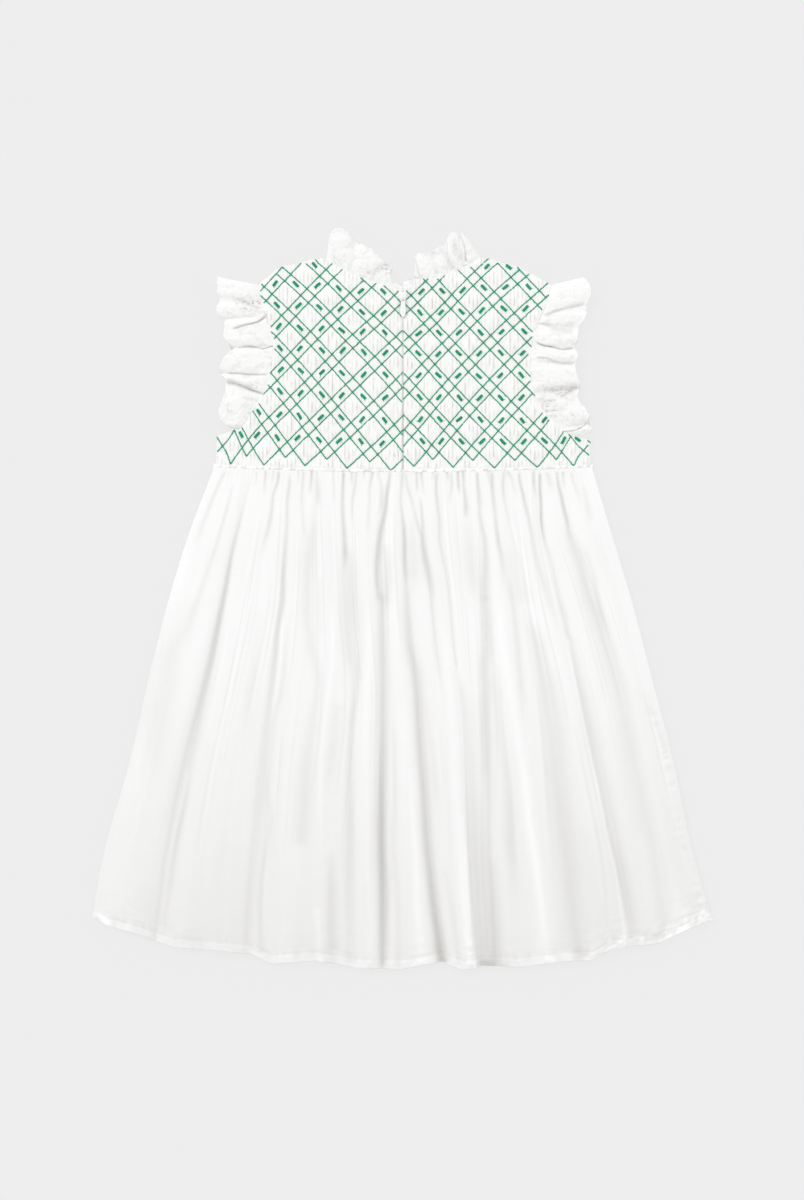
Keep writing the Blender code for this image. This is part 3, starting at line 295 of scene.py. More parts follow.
     (0.4, 0.7), (2.6, 3.8, 4.2), (0.08, 0.28, 0.3, 0.26)),
    (((-13, 41), (-11.5, 24.5), (-11.9, 6.5), (-13.7, -18.7)), (0.2, 0.4, 0.4), (3, 3.6, 2.2),
     (0.12, 0.28, 0.28, 0.14)),
    (((-15.8, 6.5), (-14.4, -29.5), (-13.7, -65.5), (-13.7, -101.5), (-14.8, -137.5), (-15.1, -173.5),
      (-14, -205.9), (-14.4, -267.8)),
     (0, 0), (3.6, 4.1, 3.6, 3.2, 3.2), (0.16, 0.34, 0.34, 0.4, 0.54, 0.7, 0.76, 0.6, 0.44), 0.45),
    (((-5, -90.7), (-5.8, -137.5), (-6.5, -173.5), (-4.3, -205.9), (-2.9, -267.1)),
     (0.3, 0.4), (1.6, 2), (0.06, 0.12, 0.16, 0.18)),
    (((2.2, 13.7), (2.9, -15.1), (4.3, -33.1), (8.3, -51.1), (10.1, -65.5), (11.2, -87.1), (12.2, -105.1),
      (15.1, -137.5), (16.9, -173.5), (20.2, -205.9), (22.3, -223.9), (28.8, -265)),
     (0, 0), (2.6, 3.5, 3.5, 3.3, 3.3), (0.18, 0.32, 0.4, 0.43, 0.45, 0.48, 0.52, 0.6, 0.72, 0.72), 0.56),
    (((20.2, 4.3), (21.6, -15.1), (23.8, -36.7), (27.4, -58.3), (31.7, -77.8)),
     (0.4, 0.3), (1.7, 1.7), (0.24, 0.22, 0.12, 0.05)),
    (((17.3, -72.7), (20.2, -101.5), (23.8, -130.3), (26.6, -167.8)),
     (0.3, 0.3), (2.2, 2.2), (0.05, 0.13, 0.05)),
    (((31, -191.5), (35.3, -220.3), (41, -264.2)), (0.3, 0.4), (2.2, 2.6), (0.04, 0.18, 0.2)),
    (((38.9, -47.5), (41, -65.5), (42.8, -83.5), (43.9, -101.5), (45.4, -130.3), (46.4, -155.5),
      (47.5, -180.7), (49, -205.9), (50.4, -225.4), (53.6, -267.1)),
     (0, 0), (1.4, 2, 3, 4.5, 6.5, 8, 8.6, 9.4),
     (0.14, 0.26, 0.24, 0.26, 0.32, 0.38, 0.41, 0.45, 0.46), 0.94),
    (((45.4, 58.3), (47.5, 35.3), (50.4, 13.7), (52.6, -10.8)),
     (0.2, 0.2), (3, 4.6, 4.2), (0.12, 0.2, 0.2, 0.08)),
    (((59.3, 4.3), (59.8, -15.1), (60.5, -33.1), (59, -51.1), (60.5, -65.5), (59.8, -83.5), (60.5, -101.5),
      (61.2, -119.5), (63.4, -137.5), (64.1, -155.5), (63.4, -180.7)),
     (0.2, 0.2), (3.2, 3.4, 4.4, 4.4, 3.2, 4), (0.28, 0.34, 0.3, 0.28, 0.32, 0.28, 0.22, 0.24, 0.1)),
    (((67.7, -40.3), (69.8, -58.3), (71.3, -83.5), (73.4, -105.1), (75.6, -123.1), (78.5, -159.1),
      (79.2, -177.1), (81.4, -209.5), (80.6, -234.7)),
     (0.3, 0.6, 0.6), (1.6, 2.4, 3.2, 3.6, 3.8), (0.04, 0.14, 0.18, 0.24, 0.28, 0.32, 0.24, 0.06), 0.25),
    (((74.9, 17.3), (79.9, -7.9), (84.2, -51.1), (87.1, -72.7), (92.2, -103)),
     (0.3, 0.3), (2.4, 2.4), (0.1, 0.15, 0.14, 0.05)),
    (((77, 38.9), (80.6, 20.2), (84.2, 2.2), (87.8, -14.4)), (0, 0), (4, 5.6, 5), (0.04, 0.12, 0.14, 0.05)),
    (((84.2, -4.3), (92.2, -18.7), (97.9, -33.1), (101.5, -51.1), (105.8, -72.7), (109.4, -97.9),
      (113, -133.9), (115.9, -155.5), (118.8, -180.7), (121.7, -209.5), (127.4, -262.1)),
     (0, 0), (4.5, 5.6, 6.4, 6.6, 6.4, 6.8), (0.1, 0.22, 0.26, 0.26, 0.28, 0.3, 0.31, 0.28, 0.26), 0.48),
    (((118.8, -23.8), (123.1, -48.2), (126.7, -65.5), (130.3, -82.8), (133.9, -100.1), (137.5, -117.4),
      (141.8, -136.1), (145.8, -154.8), (149.8, -173.5), (154.1, -192.2), (157, -206.6), (160.6, -225.4),
      (165.6, -251.3)),
     (0, 0), (1.4, 2.4, 3.2, 3.4, 3.4, 3.8, 3.6),
     (0.28, 0.32, 0.38, 0.37, 0.32, 0.34, 0.44, 0.38, 0.26), 0.84),
    (((119.5, 49.7), (121.9, 41.8), (127.4, 28.1), (131, 13.7), (135.4, -2.2), (140.4, -15.1),
      (146.9, -33.1), (152.6, -51.1), (157.7, -65.5), (161.3, -83.5), (164.2, -101.5), (169.2, -126.7),
      (174.2, -148.3), (180.7, -173.5), (189.4, -247.7)),
     (0.5, 0.5, 0.4, 0.4), (2.5, 4.5, 5.6, 6.4, 7, 8, 9, 9),
     (0.3, 0.28, 0.25, 0.2, 0.18, 0.17, 0.14, 0.12, 0.09, 0.05), 0.4),
    (((129.6, 41), (136.1, 20.9), (140.4, -0.7), (144, -15.1), (150.5, -35.3)),
     (0.3, 0.3), (1.8, 1.8), (0.05, 0.16, 0.24, 0.12)),
    (((174.2, -65.5), (180, -83.5), (187.9, -103), (193.7, -126.7)),
     (0.3, 0.3), (2, 2), (0.04, 0.12, 0.08)),
    # shade at the hem and beside the folds above it
    (((18.7, -240.5), (23.8, -251.5), (29.5, -262)), (0, 0), (2.2, 3.4), (0.02, 0.14, 0.34)),
    (((51.5, -258.5), (57.6, -262), (66, -263.5), (77.8, -264.2)), (0, 0), (3, 2.6), (0.3, 0.6, 0.4, 0.1)),
    (((64.1, -184.3), (66.2, -216.7), (68.4, -262.1)), (0, 0), (2.6, 3), (0.08, 0.15, 0.15)),
    # broad hollows, in painted shade alone
    (((4.3, 61.2), (7.2, 41), (7.9, 20.2), (8.6, -0.7)), (0, 0), (2, 3.4, 4), (0.05, 0.16, 0.18, 0.08)),
    (((-62.6, 87.1), (-61.9, 74.2), (-62.6, 58.3)), (0, 0), (2.6, 3.4), (0.1, 0.14, 0.06)),
    (((-149, 6.5), (-154.8, -16.6), (-164.2, -36.7), (-167.8, -58.3), (-173.5, -83.5), (-177.1, -105.1),
      (-180, -130.3), (-184.3, -155.5)), (0, 0), (2.6, 5, 6, 5), (0.08, 0.13, 0.14, 0.12, 0.04)),
    (((-104.4, -0.7), (-105.8, -33.1), (-110.2, -67), (-112.3, -87.1), (-115.2, -119.5)),
     (0, 0), (3.5, 3.5), (0.04, 0.12, 0.04)),
    (((-126, -159.1), (-121.7, -202.3), (-115.9, -257)), (0, 0), (12, 15), (0, 0.06, 0.13)),
    (((-156.2, -180.7), (-151.9, -209.5), (-146.2, -253.4)), (0, 0), (13, 13), (0, 0.05, 0.12)),
    (((-84.2, -180.7), (-77, -216.7), (-70.6, -262.1)), (0, 0), (10, 10), (0, 0.05, 0.11)),
    (((133.2, -159.1), (139, -202.3), (146.2, -257)), (0, 0), (10, 11), (0.03, 0.09, 0.13)),
    (((-185.8, -202.3), (-181.4, -246.2)), (0, 0), (8, 8), (0.04, 0.1)),
    (((-163.4, 6.5), (-175, -33.1), (-182.9, -65.5), (-190.1, -101.5), (-195.8, -130.3)),
     (0, 0), (8, 9), (0.04, 0.13, 0.12, 0.05)),
    # ridges with a negative depth, and painted highlight with a negative shade; two rows are painted
    # highlight alone
    (((-154.8, -121.7), (-157, -137.5), (-161.3, -155.5), (-164.9, -173.5), (-169.2, -195.1)),
     (-0.5, -0.4), (0.9, 0.9), (-0.16, -0.14)),
    (((-85.7, -9.4), (-87.8, -36.7), (-90, -58.3), (-93.6, -79.9), (-96.5, -103)),
     (-0.4, -0.3), (1, 1), (-0.12, -0.1)),
    (((-50.4, -0.7), (-50.4, -47.5), (-54, -76.3), (-57.6, -105.1), (-59, -144.7), (-58.3, -180.7),
      (-58.3, -209.5)), (-0.4, -0.4), (2, 1.6, 1.4), (-0.1, -0.1, -0.1)),
    (((-23, -4.3), (-23.8, -43.9), (-25.2, -87.1), (-25.2, -137.5), (-25.2, -180.7), (-23, -216.7),
      (-23, -265.7)), (-0.4, -0.4), (3, 3.5), (-0.06, -0.1, -0.1)),
    (((43.9, -148.3), (45.4, -173.5), (46.8, -201.6), (48.2, -226.8), (50.4, -264.2)),
     (-0.3, -0.4), (2, 3.2, 3.6), (-0.04, -0.1, -0.12, -0.12), 0.3),
    (((70.6, -173.5), (73.4, -209.5), (76.3, -255.6)), (0, 0), (2, 2.4), (-0.03, -0.07, -0.04)),
    (((0.7, -72.7), (2.9, -112.3), (5.8, -155.5), (8.6, -195.1), (14.4, -264.2)),
     (-0.4, -0.4), (3.5, 5), (-0.05, -0.12, -0.14)),
    (((29.5, -7.9), (33.1, -40.3), (35.3, -72.7), (38.2, -115.9), (39.6, -159.1), (41, -209.5),
      (43.9, -265.7)), (-0.3, -0.3), (3, 5), (-0.06, -0.1, -0.08)),
    (((69.8, -0.7), (72, -29.5), (77.8, -65.5), (82.8, -97.9), (87.8, -130.3), (92.2, -166.3),
      (97.2, -198.7), (104.4, -263.5)), (-0.5, -0.5), (2, 2.6, 3.5, 5), (-0.1, -0.14, -0.16, -0.14)),
    (((92.2, -0.7), (99.4, -23.8), (107.3, -43.9), (115.2, -65.5)), (-0.4, -0.3), (3, 3.5), (-0.08, -0.05)),
    (((117.4, -29.5), (125.3, -65.5), (132.5, -101.5), (139.7, -135.4), (146.9, -170.6), (152.6, -195.1),
      (157, -223.9), (161.3, -252)), (-0.3, -0.4), (0.8, 0.9), (-0.1, -0.12, -0.18, -0.2)),
    (((77.8, 56.9), (82.8, 38.9), (89.3, 19.4), (94.3, -0.7)), (-0.4, -0.4), (1.8, 2.6), (-0.08, -0.08)),
    (((-61.2, -220.3), (-59, -262.8)), (-0.3, -0.3), (2, 2), (-0.12, -0.12)),
    (((170.6, -166.3), (176.4, -205.9), (182.2, -248.4)), (0, 0), (3.5, 3.5), (-0.06, -0.06)))]


def frill_crease(path, depth, wide, shade, lip=0, fade=(0.1, 0.15)):
    return Crease(path, depth, wide, shade, 0.5, lip, fade)


FRILL_CREASES = {
    "armhole_left": [frill_crease(*row) for row in (
        (((-101.5, 208.8), (-108.7, 211), (-116.6, 216), (-124.6, 216)),
         (0.6, 0.9), (0.8, 0.8), (0.25, 0.35), 0, (0.1, 0.4)),
        (((-97.9, 204.5), (-104.4, 199.4), (-113, 197.3), (-123.8, 193.7)),
         (1.6, 1.2), (0.6, 0.8), (0.8, 0.6), -0.6),
        (((-92.2, 182.9), (-100.8, 180), (-109.4, 182.2), (-118.1, 181.4)),
         (1.2, 0.9), (0.5, 0.5), (0.65, 0.5), -0.4),
        (((-97.2, 161.6), (-110.2, 161.6), (-120.2, 162.7), (-128.9, 162.7)),
         (0.8, 1), (0.5, 0.5), (0.5, 0.55), -0.3),
        (((-100.1, 147.6), (-107.3, 149.8), (-117.4, 154.1), (-128.2, 157)),
         (1.5, 1.6), (0.6, 1.6), (0.75, 0.6), -0.3),
        (((-101.5, 140.4), (-110.2, 144), (-118.8, 144.7)),
         (0.5, 0.5), (1.2, 1.2), (0.2, 0.2), 0, (0.3, 0.3)),
        (((-108.7, 125.3), (-117.4, 123.1), (-128.9, 123.1)), (0.9, 0.9), (0.7, 1.2), (0.3, 0.45)))],
    "armhole_right": [frill_crease(*row) for row in (
        (((131.8, 212.8), (125.3, 211), (115.9, 208.8), (106.6, 205.9), (100.8, 203)),
         (0.8, 1), (1.4, 1.2), (0.4, 0.55), -0.4),
        (((96.5, 198), (104.4, 197.3), (108, 195.1), (114.5, 193.7), (124.6, 193)),
         (1, 0.7), (0.6, 1.8, 2.6), (0.6, 0.34, 0.32)),
        (((123.8, 181), (113.8, 179.6), (106.6, 181.8), (99.4, 182.9), (94.3, 186.5)),
         (1.2, 1.5), (0.8, 0.6), (0.6, 0.8), -0.5),
        (((124.6, 169.6), (113, 169.9), (106.6, 171.8), (103, 173.2), (94.3, 173.5)),
         (0.6, 0.7), (1.4, 0.6), (0.3, 0.5), -0.2),
        (((95, 150.5), (104.4, 150.5), (114.5, 151.2), (127.4, 153.4)), (0.6, 0.7), (3, 3), (0.18, 0.2)),
        (((112.5, 144.6), (118.8, 148.5), (127.0, 153.6)), (0.7, 0.8), (1, 1.2), (0.4, 0.5)),
        (((97.2, 144.7), (102.2, 141.1), (110.2, 142.6)), (0.6, 0.6), (2, 2), (0.3, 0.2)),
        (((134.6, 131.8), (132.5, 126.7), (126.7, 122.4), (113, 120.2)),
         (0.6, 0.8), (0.6, 0.5), (0.35, 0.5), -0.5))],
    "neck": [frill_crease(*row) for row in (
        (((-21.6, 231.8), (-17.3, 239), (-12.2, 240.5), (-6.5, 238.3)),
         (0.7, 0.8), (1.2, 1.2), (0.3, 0.45)),
        (((-36.7, 263.5), (-35.3, 252.7), (-37.4, 241.2)),
         (0.5, 0.5), (1.4, 1.6), (0.15, 0.1), 0, (0.1, 0.5)),
        (((-39.6, 235.4), (-36.7, 242.6), (-32.4, 247)), (0.5, 0.5), (1, 1.4), (0.2, 0.1), 0, (0.1, 0.5)),
        (((-25.2, 231.8), (-25.9, 238.3), (-23, 245.5)),
         (0.5, 0.4), (1, 1.2), (0.15, 0.1), 0, (0.1, 0.5)),
        (((-47.5, 236.9), (-49.7, 245.5), (-48.2, 254.2)),
         (0.6, 0.5), (0.8, 1), (0.3, 0.15), 0, (0.1, 0.5)),
        (((45.4, 241.2), (44.6, 252), (41.8, 259.9), (39.6, 264.2)), (1.2, 0.8), (0.7, 0.8), (0.6, 0.35)),
        (((42.5, 242.6), (38.9, 251.3), (35.3, 259.9)), (0.7, 0.6), (2.6, 2.2), (0.28, 0.2)),
        (((41.4, 236.9), (35.3, 246.2), (29.9, 254.2)), (-0.8, -0.7), (0.6, 0.6), (-0.2, -0.2)),
        (((36.7, 236.2), (31.7, 245.5), (26.6, 252)), (0.7, 0.6), (1.8, 1.6), (0.3, 0.2)),
        (((24.5, 232.6), (22.3, 242.6), (21.6, 251.3)), (0.5, 0.4), (1.4, 1.6), (0.2, 0.12)),
        (((13, 228.2), (10.8, 236.9), (8.6, 245.5)), (0.8, 0.6), (0.6, 0.8), (0.4, 0.25)),
        (((0.7, 229), (5, 230.8), (10.1, 231.1)), (0.6, 0.6), (0.7, 0.8), (0.35, 0.3)))]}
# Where the frills are crushed, and flecked with small hollows darkened with painted shade
FrillPatch = namedtuple("FrillPatch", "x y reach_x reach_y strength")
FRILL_PATCHES = {
    "armhole_left": [FrillPatch(*row) for row in (
        (-109.5, 212.5, 9.5, 5.5, 1.4), (-126.0, 206.5, 6.0, 5.0, 0.35), (-118.0, 172.5, 9.0, 3.0, 0.35),
        (-107.5, 153.5, 9.0, 3.5, 0.45), (-125.5, 136.0, 4.0, 3.5, 0.6), (-110.5, 134.0, 7.0, 4.5, 0.6),
        (-120.0, 124.5, 7.0, 3.0, 0.4))],
    "armhole_right": [FrillPatch(*row) for row in (
        (106.0, 173.5, 9.0, 2.5, 0.45), (112.0, 148.5, 11.0, 5.5, 0.8), (106.0, 137.0, 8.0, 8.0, 1.0),
        (121.0, 131.0, 6.0, 5.0, 0.5), (128.0, 121.0, 7.0, 3.5, 0.7))],
    "neck": [FrillPatch(*row) for row in (
        (-13.5, 236.5, 8.0, 4.0, 0.9), (-29.0, 234.5, 9.0, 3.0, 0.6), (-4.5, 227.5, 5.0, 3.0, 0.5),
        (25.0, 250.0, 4.0, 5.0, 0.5), (41.0, 240.0, 6.0, 4.0, 0.6), (8.0, 230.5, 7.0, 2.5, 0.5))]}
COLUMNS_PER_GATHER = 10
HEM = ((-224.0, -229.7), (-216.7, -234.7), (-195.1, -240.2), (-166.3, -250.6), (-137.0, -252.7),
       (-108.7, -255.6), (-94.3, -262.6), (-62.0, -260.2), (-33.1, -265.5), (-1.0, -266.3),
       (28.1, -261.0), (42.5, -267.0), (51.0, -266.4), (56.9, -263.6), (85.7, -264.8),
       (110.0, -261.4), (136.1, -259.9), (150.5, -251.6), (184.0, -247.8), (208.1, -237.6),
       (224.0, -231.8))
HEM_BAND = 6.4
SKIRT_LIFT_MIDDLE = 3.6
SKIRT_LIFT_HEM = 2.8
SKIRT_EDGE_WIDTH = 26.0
WAIST_BLEND = 60.0

# The trellis of thread: a row (b) and column (a) of crossings, counted from the crossing next to
# the zip. Each half is stitched by itself and spreads in its own way, so it has its own terms. The
# values of the terms in 1, a and b came out of a search by another program. Those with names were
# given one by one.
TrellisMap = namedtuple("TrellisMap", "x y")
TRELLIS = {
    -1: TrellisMap(
        {"1": -8.31, "a": -14.93, "aa": 0.024, "ab": 0.097, "b": 1.02, "bb": -0.153, "aab": -0.0065,
         "abb": -0.0229, "middle": 1.6, "end": 1.33},
        {"1": 120.07, "b": 16.48, "a": 0.755, "aa": 0.012, "ab": -0.028, "bb": -0.090,
         "aab": -0.0012, "aaa": 0.0021, "neck": -2.4, "low end": -0.85}),
    1: TrellisMap(
        {"1": 4.26, "a": 14.62, "aa": 0.027, "ab": -0.016, "b": -1.02, "bb": 0.127, "aab": 0.0025,
         "abb": 0.0220, "aaa": 0.0062, "middle": 1.6, "neck": 1.2, "end": -1.45},
        {"1": 121.97, "b": 15.83, "a": -0.376, "aa": 0.0125, "ab": 0.038, "bb": -0.0326,
         "aab": -0.0010, "abb": 0.0024, "aaa": 0.0054, "neck": -2.4})}
THREAD_LINES = (1 / 6, 5 / 6)    # a pair of lines in each repeat
STITCHES_PER_REPEAT = 9
THREAD_THICK = 0.94
BAR_LENGTH = 5.5
BAR_STRANDS = (-0.6, 0.0, 0.6)    # places of a bar's threads across it


# ---- measuring helpers ----

def smoothstep(value, low, high):
    share = np.clip((value - low) / (high - low), 0.0, 1.0)
    return share * share * (3 - 2 * share)


def smooth_through(keys, values, at):
    """Smooth curve through (key, value) points; keys may fall or rise."""
    order = np.argsort(keys)
    keys = np.asarray(keys, float)[order]
    values = np.asarray(values, float)[order]
    slopes = np.gradient(values, keys)
    at = np.clip(at, keys[0], keys[-1])
    i = np.clip(np.searchsorted(keys, at) - 1, 0, len(keys) - 2)
    width = keys[i + 1] - keys[i]
    t = (at - keys[i]) / width
    return ((2 * t ** 3 - 3 * t ** 2 + 1) * values[i] + (t ** 3 - 2 * t ** 2 + t) * width * slopes[i]
            + (3 * t ** 2 - 2 * t ** 3) * values[i + 1] + (t ** 3 - t ** 2) * width * slopes[i + 1])


def soft_noise(x, y, seed):
    """Smooth noise from -1 to 1 with bumps about one unit wide."""
    table = np.random.default_rng(seed).uniform(-1.0, 1.0, (64, 64))
    x, y = np.broadcast_arrays(np.asarray(x, float), np.asarray(y, float))
    i, j = np.floor(x).astype(int), np.floor(y).astype(int)
    u, v = smoothstep(x - i, 0, 1), smoothstep(y - j, 0, 1)

    def corner(di, dj):
        return table[(i + di) % 64, (j + dj) % 64]

    return ((corner(0, 0) * (1 - u) + corner(1, 0) * u) * (1 - v)
            + (corner(0, 1) * (1 - u) + corner(1, 1) * u) * v)


def waist_y(x):
    return WAIST_Y + WAIST_RISE * (x / HALF_WAIST) ** 2


def bodice_roof(x, y):
    to_side = 0.055 * (134.5 - np.abs(x))
    to_shoulder = 0.10 * (262.6 - 0.33 * np.abs(x) - y)
    return np.clip(np.minimum(to_side, to_shoulder), 0.0, BODICE_LIFT)


def back_outline(side):
    """Half of the back bodice: waist, side seam, armhole, shoulder, neckline."""
    outs = (ZIP_EDGE, 40.0, 75.0, 105.0, HALF_WAIST)
    points = [(out, waist_y(out) - WAIST_LAP) for out in outs] + [SIDE_TOP[side]]
    points += [(row.seam_out, row.seam_y) for row in ARMHOLE[side]]
    points += list(reversed(SHOULDER[side]))
    points += [(row.seam_out, row.seam_y) for row in reversed(NECK[side])][:-1]
    points.append((ZIP_EDGE, NECK[side][0].seam_y - 0.2))
    return np.array(points)


def lies_inside(outline, out, y):
    """Which points are inside an outline of (out, y) corners."""
    inside = np.zeros(out.shape, bool)
    for (x1, y1), (x2, y2) in zip(outline, np.roll(outline, -1, axis=0)):
        if y1 != y2:
            inside ^= ((y1 > y) != (y2 > y)) & (out < (x2 - x1) * (y - y1) / (y2 - y1) + x1)
    return inside


def smooth_path(path, step=4.0):
    """Points along a smooth curve through a path's points."""
    points = np.array(path, float)
    run = np.concatenate([[0], np.cumsum(np.hypot(*np.diff(points, axis=0).T))])
    at = np.linspace(0, run[-1], max(3, int(run[-1] / step)) + 1)
    return np.stack([smooth_through(run, points[:, 0], at), smooth_through(run, points[:, 1], at)], -1)


def beside_path(x, y, path):
    """How far points lie to the left of a path (negative on its right), and at what share of it."""
    nearest = np.full(x.shape, np.inf)
    offset = np.zeros_like(x)
    share = np.zeros_like(x)
    for k, (start, end) in enumerate(zip(path[:-1], path[1:])):
        dx, dy = end - start
        along = np.clip(((x - start[0]) * dx + (y - start[1]) * dy) / (dx * dx + dy * dy), 0, 1)
        away = np.hypot(x - start[0] - along * dx, y - start[1] - along * dy)
        left = dx * (y - start[1]) - dy * (x - start[0])
        closer = away < nearest
        nearest = np.where(closer, away, nearest)
        offset = np.where(closer, np.copysign(away, left), offset)
        share = np.where(closer, (k + along) / (len(path) - 1), share)
    return offset, share


def along_keys(values, share):
    """Values that stand at even steps along a path, read at a share of its length."""
    return np.interp(share, np.linspace(0, 1, len(values)), values)


def crease_relief(x, y, creases):
    """Height and painted shade that creases give to the points of a cloth. A negative lip is on the right."""
    height = np.zeros_like(x)
    shade = np.zeros_like(x)
    for crease in creases:
        path = smooth_path(crease.path)
        reach = 5 * max(crease.wide) + 4
        near = ((x > path[:, 0].min() - reach) & (x < path[:, 0].max() + reach)
                & (y > path[:, 1].min() - reach) & (y < path[:, 1].max() + reach))
        if not near.any():
            continue
        offset, share = beside_path(x[near], y[near], path)
        wide = 2 * along_keys(crease.wide, share) * np.where(offset > 0, crease.lean, 1 - crease.lean)
        ends = smoothstep(share, 0, crease.fade[0]) * (1 - smoothstep(share, 1 - crease.fade[1], 1))
        hollow = along_keys(crease.depth, share) / (1 + (offset / wide) ** 2) ** 1.5
        lip_side = offset if crease.lip > 0 else -offset
        lip = np.where(lip_side > 0, abs(crease.lip) * np.exp(-np.abs(offset) / LIP_REACH), 0.0)
        height[near] += (lip - hollow) * ends
        shade[near] += along_keys(crease.shade, share) * ends * np.exp(-(offset / (1.2 * wide)) ** 2)
    return height, shade


# ---- trellis ----

def trellis_xy(side, a, b):
    """Place of trellis coordinates on the cloth. The named terms pull it in at single places: along the
    zip, at the neck, and past the sixth column under the arm."""
    terms = {"1": 1.0, "a": a, "b": b, "aa": a * a, "ab": a * b, "bb": b * b, "aab": a * a * b,
             "abb": a * b * b, "aaa": a ** 3, "middle": np.exp(-(a / 1.6) ** 2),
             "neck": smoothstep(b, 3.0, 6.0) * (1 - smoothstep(a, 1.0, 4.0)),
             "end": np.clip(a - 6.0, 0.0, 2.4) ** 2,
             "low end": np.clip(a - 4.0, 0.0, 5.0) * np.clip(-b / 1.6, 0.0, 1.2)}
    where = TRELLIS[side]
    return (sum(value * terms[key] for key, value in where.x.items()),
            sum(value * terms[key] for key, value in where.y.items()))


def trellis_ab(side, x, y):
    """Trellis coordinates of a place on the cloth, found by steps."""
    where = TRELLIS[side]
    a = (x - where.x["1"]) / where.x["a"]
    b = (y - where.y["1"]) / where.y["b"]
    for _ in range(12):
        near_x, near_y = trellis_xy(side, a, b)
        a = a + (x - near_x) / where.x["a"] * 0.9
        b = b + (y - near_y) / where.y["b"] * 0.9
    return a, b


def lowest_chain(a):
    """The trellis ends at the waist in a chain of deep and shallow points."""
    to_even = np.abs(a - 2 * np.round(a / 2))
    return np.minimum(-5 / 3 + to_even, -4 / 3 + (1 - to_even))


def puff_share(position):
    """Across one repeat: a high wide swell between pairs of lines and a low one in a pair."""
    share = position - np.floor(position)
    wide = np.sin(np.pi * np.clip((share - 1 / 6) * 1.5, 0, 1))
    narrow = np.sin(np.pi * np.clip(((share + 1 / 6) % 1.0) * 3, 0, 1))
    return np.where((share > 1 / 6) & (share < 5 / 6), wide, CHANNEL_SWELL * narrow)


def puff_height(side, x, y):
    a, b = trellis_ab(side, x, y)
    swell = np.maximum(puff_share((a + b) / 2), 0) * np.maximum(puff_share((a - b) / 2), 0)
    under = lowest_chain(a) - b
    swell = np.where(under > 0, 0.6 * smoothstep(under, 0.03, 0.3), swell)
    return swell ** 0.6


def bodice_base(x, y):
    """Top of the flat cloth of the back bodice."""
    return LAYER + bodice_roof(x, y) + WALL


# ---- meshes ----

def new_object(name, data):
    piece = bpy.data.objects.new(name, data)
    bpy.context.scene.collection.objects.link(piece)
    return piece


def mesh_piece(name, points, faces, uv=None, **values):
    """Mesh object from points in millimetres. Values are numbers kept on the points."""
    mesh = bpy.data.meshes.new(name)
    mesh.from_pydata((np.asarray(points) * MM).tolist(), [], faces)
    mesh.update()
    for label, numbers in values.items():
        spread = mesh.attributes.new(label, "FLOAT", "POINT")
        spread.data.foreach_set("value", np.asarray(numbers, np.float32).ravel())
    if uv is not None:
        layer = mesh.uv_layers.new(name="cloth")
        corners = np.zeros(len(mesh.loops), np.int32)
        mesh.loops.foreach_get("vertex_index", corners)
        layer.data.foreach_set("uv", np.asarray(uv, np.float32)[corners].ravel())
    mesh.shade_smooth()
    return new_object(name, mesh)


def grid_piece(name, x, y, z, uv, upward=True, **values):
    """Sheet over a grid of points. Rows run from the top of the garment to its hem."""
    rows, columns = x.shape
    index = np.arange(rows * columns).reshape(rows, columns)
    corners = [index[:-1, :-1], index[1:, :-1], index[1:, 1:], index[:-1, 1:]]
    if not upward:
        corners.reverse()
    faces = np.stack(corners, -1).reshape(-1, 4).tolist()
    points = np.stack([x, y, z], -1).reshape(-1, 3)
    flat_uv = np.stack(uv, -1).reshape(-1, 2) * MM
    return mesh_piece(name, points, faces, flat_uv, **{k: v.ravel() for k, v in values.items()})


def weld(piece, turned_down=0.0):
    """Merge points that fall together, and turn the open edges down."""
    bm = bmesh.new()
    bm.from_mesh(piece.data)
    bmesh.ops.remove_doubles(bm, verts=bm.verts[:], dist=0.00002)
    bmesh.ops.dissolve_degenerate(bm, edges=bm.edges[:], dist=0.00001)
    if turned_down:
        rim = [edge for edge in bm.edges if edge.is_boundary]
        grown = bmesh.ops.extrude_edge_only(bm, edges=rim)
        moved = [item for item in grown["geom"] if isinstance(item, bmesh.types.BMVert)]
        bmesh.ops.translate(bm, vec=(0.0, 0.0, -turned_down * MM), verts=moved)
    bm.to_mesh(piece.data)
    bm.free()
    return piece


def thicken(piece, thickness, offset=0.0):
    wall = piece.modifiers.new("cloth_thickness", "SOLIDIFY")
    wall.thickness = thickness * MM
    wall.offset = offset
    wall.use_rim = True
    return settle(piece)


def settle(piece):
    """Turn a piece with modifiers into a plain mesh."""
    bpy.context.view_layer.update()
    ready = piece.evaluated_get(bpy.context.evaluated_depsgraph_get())
    mesh = bpy.data.meshes.new_from_object(ready)
    piece.modifiers.clear()
    old = piece.data
    piece.data = mesh
    mesh.name = piece.name
    if old.users == 0:
        bpy.data.batch_remove([old])
    return piece


# ---- geometry nodes ----

def new_tree(name, sockets):
    tree = bpy.data.node_groups.new(name, "GeometryNodeTree")
    for label, kind, value in sockets:
        socket = tree.interface.new_socket(label, in_out="INPUT", socket_type=kind)
        if value is not None:
            socket.default_value = value
    tree.interface.new_socket("Geometry", in_out="OUTPUT", socket_type="NodeSocketGeometry")
    return tree


def add(tree, kind, settings=None, **inputs):
    """Node with settings, and with inputs that are values or other nodes' sockets."""
    node = tree.nodes.new(kind)
    for key, value in (settings or {}).items():
        setattr(node, key, value)
    for key, value in inputs.items():
        numbered = key.startswith("in") and key[2:].isdigit()
        socket = node.inputs[int(key[2:]) if numbered else key.replace("_", " ")]
        if isinstance(value, bpy.types.NodeSocket):
            tree.links.new(value, socket)
        else:
            socket.default_value = value
    return node


